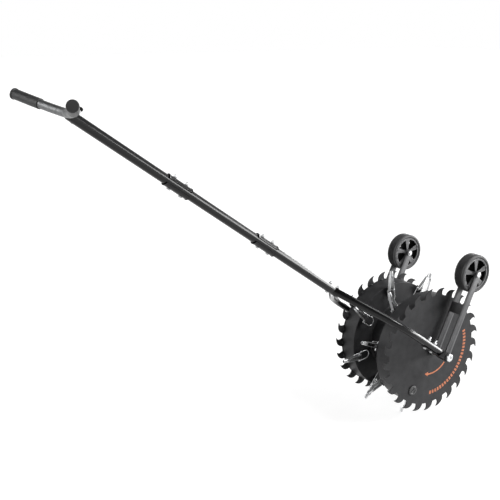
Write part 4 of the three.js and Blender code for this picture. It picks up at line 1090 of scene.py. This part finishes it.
for side, side_name in ((1, "left"), (-1, "right")):
    hub_place = WHEEL_ARM @ Matrix.Translation((0, side * WHEEL_OFFSET, WHEEL_DISTANCE))
    wheel = Matrix.Translation(hub_place.translation)
    tyre = turn(f"{side_name}_tyre_rubber", crown, steps=120, ring=True)
    smooth(tyre, 32)
    seat(tyre, wheel @ ALONG_Y)
    dress(tyre, rubber, f"{side_name}_wheel", "tyre", f"{side_name}_tyre")

    # The spokes are two thin faces on a black core of painted shade, with the openings cut through all three
    web_half = HUB_HALF - SPOKE_RECESS
    core_half = web_half - SPOKE_THICKNESS
    core = turn(f"{side_name}_hub_painted_shade_core", [
        (BOSS_RADIUS, -core_half), (rim_inside - 0.0001, -core_half), (rim_inside - 0.0001, core_half),
        (BOSS_RADIUS, core_half)], steps=120, ring=True)
    cut_openings(core, rim_inside - CORE_LINING, wider=0.8)
    smooth(core)
    seat(core, wheel @ UPRIGHT)
    dress(core, cap_and_shade_plastic, f"{side_name}_wheel", "wheel_plastic")
    hub = turn("hub", [(WHEEL_BOLT_RADIUS + 0.0004, -HUB_HALF), (BOSS_RADIUS - 0.001, -HUB_HALF),
                       (BOSS_RADIUS, -web_half), (rim_inside, -web_half), (rim_inside + 0.0008, -HUB_HALF),
                       (HUB_RADIUS, -HUB_HALF), (HUB_RADIUS, HUB_HALF), (rim_inside + 0.0008, HUB_HALF),
                       (rim_inside, web_half), (BOSS_RADIUS, web_half), (BOSS_RADIUS - 0.001, HUB_HALF),
                       (WHEEL_BOLT_RADIUS + 0.0004, HUB_HALF)], steps=120, ring=True)
    hollow = turn("hollow", [(BOSS_RADIUS - 0.0001, -core_half - 0.0001), (rim_inside, -core_half - 0.0001),
                             (rim_inside, core_half + 0.0001), (BOSS_RADIUS - 0.0001, core_half + 0.0001)],
                  steps=120, ring=True)
    merge(hub, hollow, "DIFFERENCE")
    cut_openings(hub, rim_inside)
    soften(hub, 0.0006, angle=35)
    hub.name = f"{side_name}_hub_moulding"
    seat(hub, wheel @ UPRIGHT)
    dress(hub, hub_plastic, f"{side_name}_wheel", "wheel_plastic", f"{side_name}_wheel_hub")

    outer_face, inner_face = OUTER_ARM + ARM_THICKNESS / 2 + FIT, INNER_ARM - ARM_THICKNESS / 2 - FIT
    wheel_bolt = bolt(f"{side_name}_wheel_bolt_steel", -outer_face, -inner_face, BOLT_END, WHEEL_BOLT_RADIUS,
                      WHEEL_BOLT_ACROSS, WHEEL_BOLT_HEAD, nut=WHEEL_BOLT_HEAD)
    bolt_place = WHEEL_ARM @ Matrix.Translation((0, 0, WHEEL_DISTANCE))
    seat(wheel_bolt, bolt_place @ Matrix.Rotation(side * math.pi / 2, 4, "X"))
    dress(wheel_bolt, zinc, "frame", "zinc", f"{side_name}_wheel_bolt")


# Pole
# Three lengths of 30 mm tube, butted end to end and coated like the fork.
LOWER_JOINT = 0.776
UPPER_JOINT = 1.152
BAR_HEIGHT = 1.550
BAR_RADIUS = 0.0127

pole_bore = POLE_RADIUS - POLE_WALL
for name, bottom, top in (("lower", CROWN_JOINT + BUTT_GAP, LOWER_JOINT - BUTT_GAP),
                          ("middle", LOWER_JOINT + BUTT_GAP, UPPER_JOINT - BUTT_GAP),
                          ("upper", UPPER_JOINT + BUTT_GAP, BAR_HEIGHT - BAR_RADIUS / 2)):
    tube = turn(f"{name}_pole_tube", [(pole_bore, bottom), (POLE_RADIUS, bottom), (POLE_RADIUS, top),
                                      (pole_bore, top)], steps=64, ring=True)
    if name == "upper":
        drill(tube, BAR_RADIUS + FIT, Matrix.Translation((0, 0, BAR_HEIGHT)) @ ALONG_Y)
    soften(tube, 0.0004)
    seat(tube, HANDLE)
    dress(tube, frame_paint, "frame", "frame_paint", f"{name}_tube")


# Splice plates
# At each joint two saddles rolled to the tube, one above and one below, are drawn together by two bolts.
# Their ends flare a little off the tube.
PLATE_HALF = 0.045
PLATE_THICKNESS = 0.003
PLATE_WRAP = 65
PLATE_FLARE = 1.08
FLARE_LENGTH = 0.006
SPLICE_BOLT = 0.023


def choose(piece, wanted):
    """In edit mode, selects the vertices whose place is wanted, and nothing else."""
    bpy.ops.mesh.select_all(action="DESELECT")
    bpy.ops.object.mode_set(mode="OBJECT")
    for vertex in piece.data.vertices:
        vertex.select = wanted(vertex.co)
    bpy.ops.object.mode_set(mode="EDIT")


plate_inner = POLE_RADIUS + FIT
saddle_outline = (arc((0, 0), plate_inner + PLATE_THICKNESS, -PLATE_WRAP, PLATE_WRAP, 20)
                  + arc((0, 0), plate_inner, PLATE_WRAP, -PLATE_WRAP, 20))
splice_bolt = bolt("splice_bolt", -plate_inner - PLATE_THICKNESS, plate_inner + PLATE_THICKNESS + FIT,
                   BOLT_END)
seat(splice_bolt, ALONG_X)
for joint_name, joint in (("lower", LOWER_JOINT), ("upper", UPPER_JOINT)):
    for place, half_turn in (("top", 0), ("bottom", math.pi)):
        saddle = plate(f"{joint_name}_{place}_saddle", saddle_outline, -PLATE_HALF, PLATE_HALF)
        for end in (-1, 1):
            open_up(saddle)
            bpy.ops.mesh.bisect(plane_co=(0, 0, end * (PLATE_HALF - FLARE_LENGTH)), plane_no=(0, 0, 1))
            choose(saddle, lambda place: end * place.z > PLATE_HALF - 0.0001)
            bpy.ops.transform.resize(value=(PLATE_FLARE, PLATE_FLARE, 1), center_override=(0, 0, 0))
            close_up(saddle)
        soften(saddle, 0.0005)
        seat(saddle, HANDLE @ Matrix.Translation((0, 0, joint)) @ Matrix.Rotation(half_turn, 4, "Z"))
        dress(saddle, frame_paint, "frame", "frame_paint", f"{joint_name}_joint_{place}_plate")
    for number, rise in enumerate((-SPLICE_BOLT, SPLICE_BOLT), 1):
        screw = again(splice_bolt, f"{joint_name}_splice_bolt_{number}",
                      HANDLE @ Matrix.Translation((0, 0, joint + rise)))
        dress(screw, zinc, "frame", "zinc")
bpy.data.objects.remove(splice_bolt)


# Handlebar
# One bowed length of plated 25 mm tube with a stub under its middle that goes into the pole. The bolt
# through both has a tall nut with a black rubber cap.
BAR_HALF_WIDTH = 0.211
BAR_RISE = 0.076
BAR_DROP = 0.007
BAR_POWER = 1.5
STUB_LENGTH = 0.060
BAR_BOLT = 1.524
BAR_NUT = 0.0105
CAP_HEIGHT = 0.009
CAP_RADIUS = 0.0082
BAR_SILVER = (0.15, 0.152, 0.155, 1)

bar_steel = new_material("bar steel", zinc_group,
                         {"Plate Color": BAR_SILVER, "Gloss Roughness": 0.42, "Marks": 0.04}, Metallic=1.0)


def bar_line(start, end, steps):
    """The bar's centre line between two places across the machine."""
    line = []
    for step in range(steps + 1):
        y = start + (end - start) * step / steps
        rise = abs(y / BAR_HALF_WIDTH) ** BAR_POWER
        line.append((-BAR_DROP * rise, y, BAR_HEIGHT + BAR_RISE * rise))
    return line


def sweep(name, line, radii, sides=32):
    """A round section led along a line of points, closed at both ends."""
    let_go()
    directions = []
    for index, point in enumerate(line):
        before, after = Vector(line[max(index - 1, 0)]), Vector(line[min(index + 1, len(line) - 1)])
        directions.append((after - before).normalized())
    bpy.ops.mesh.primitive_circle_add(vertices=sides, radius=radii[0], fill_type="NGON")
    piece = bpy.context.object
    piece.name = name
    seat(piece, Matrix.Translation(line[0]) @ directions[0].to_track_quat("Z", "X").to_matrix().to_4x4())
    bpy.ops.object.mode_set(mode="EDIT")
    bpy.ops.mesh.select_all(action="SELECT")
    for index in range(1, len(line)):
        step = Vector(line[index]) - Vector(line[index - 1])
        bpy.ops.mesh.extrude_region_move(TRANSFORM_OT_translate={"value": step})
        turned = directions[index - 1].rotation_difference(directions[index])
        if turned.angle > 0.0001:
            upward = 1 if turned.axis.z > 0 else -1
            axis = turned.axis.normalized() * upward
            side_axis = axis.orthogonal().normalized()
            tilt = Matrix((axis, side_axis, axis.cross(side_axis))).transposed()
            bpy.ops.transform.rotate(value=-turned.angle * upward, orient_axis="X", orient_type="GLOBAL",
                                     orient_matrix=tilt, orient_matrix_type="GLOBAL",
                                     center_override=line[index])
        if radii[index] != radii[index - 1]:
            growth = radii[index] / radii[index - 1]
            bpy.ops.transform.resize(value=(growth,) * 3, center_override=line[index])
    return close_up(piece)


bar_stations = bar_line(-BAR_HALF_WIDTH, BAR_HALF_WIDTH, 48)
bar = sweep("handlebar_tube", bar_stations, [BAR_RADIUS] * 49)
smooth(bar)
stub = turn("stub", [(0, BAR_HEIGHT - STUB_LENGTH), (pole_bore - FIT, BAR_HEIGHT - STUB_LENGTH),
                     (pole_bore - FIT, BAR_HEIGHT), (0, BAR_HEIGHT)], steps=48)
smooth(stub)
bar = join("handlebar_tube", bar, stub)
seat(bar, HANDLE)
dress(bar, bar_steel, "frame", "bar_steel", "handlebar")
bar_bolt = thread("handlebar_bolt", BOLT_RADIUS, -POLE_RADIUS - 0.0015, POLE_RADIUS + BAR_NUT + 0.002)
bar_nut = hexagon("nut", BOLT_ACROSS, BAR_NUT)
seat(bar_nut, Matrix.Translation((0, 0, POLE_RADIUS + FIT)))
bar_bolt = join("handlebar_bolt", bar_bolt, bar_nut)
seat(bar_bolt, HANDLE @ Matrix.Translation((0, 0, BAR_BOLT)) @ ALONG_X)
dress(bar_bolt, zinc, "frame", "zinc")
cap_bottom = POLE_RADIUS + FIT + BAR_NUT
bolt_cap = turn("handlebar_bolt_cap", [
    (0, cap_bottom), (CAP_RADIUS, cap_bottom), (CAP_RADIUS, cap_bottom + CAP_HEIGHT * 0.55),
    (CAP_RADIUS * 0.8, cap_bottom + CAP_HEIGHT * 0.87), (CAP_RADIUS * 0.4, cap_bottom + CAP_HEIGHT),
    (0, cap_bottom + CAP_HEIGHT)], steps=32)
smooth(bolt_cap, 60)
seat(bolt_cap, HANDLE @ Matrix.Translation((0, 0, BAR_BOLT)) @ ALONG_X)
dress(bolt_cap, cap_and_shade_plastic, "frame", "grip_vinyl")


# Grips
# Sleeves of black vinyl dipped and pushed on the bar's ends, each with a thicker collar at its closed end.
GRIP_RADIUS = 0.015
GRIP_INNER = 0.118
GRIP_OUTER = 0.215
GRIP_COLLAR = 0.0165
COLLAR_WIDTH = 0.006
VINYL = (0.017, 0.017, 0.0175, 1)

vinyl = new_material("grip vinyl", grain_group,
                     {"Plastic Color": VINYL, "Rubbed And Highlight Color": (0.09, 0.09, 0.09, 1),
                      "Grain Scale": 1100.0, "Grain Strength": 0.7, "Gloss Roughness": 0.5})
for side, side_name in ((1, "left"), (-1, "right")):
    sleeve = bar_line(side * GRIP_INNER, side * (GRIP_OUTER - COLLAR_WIDTH), 16)
    collar = bar_line(side * (GRIP_OUTER - COLLAR_WIDTH), side * GRIP_OUTER, 6)
    grip = sweep(f"{side_name}_grip_sleeve", sleeve + collar[1:],
                 [GRIP_RADIUS] * 17 + [GRIP_COLLAR] * 5 + [GRIP_COLLAR * 0.93])
    soften(grip, 0.0008, angle=50)
    seat(grip, HANDLE)
    dress(grip, vinyl, "frame", "grip_vinyl", f"{side_name}_grip")
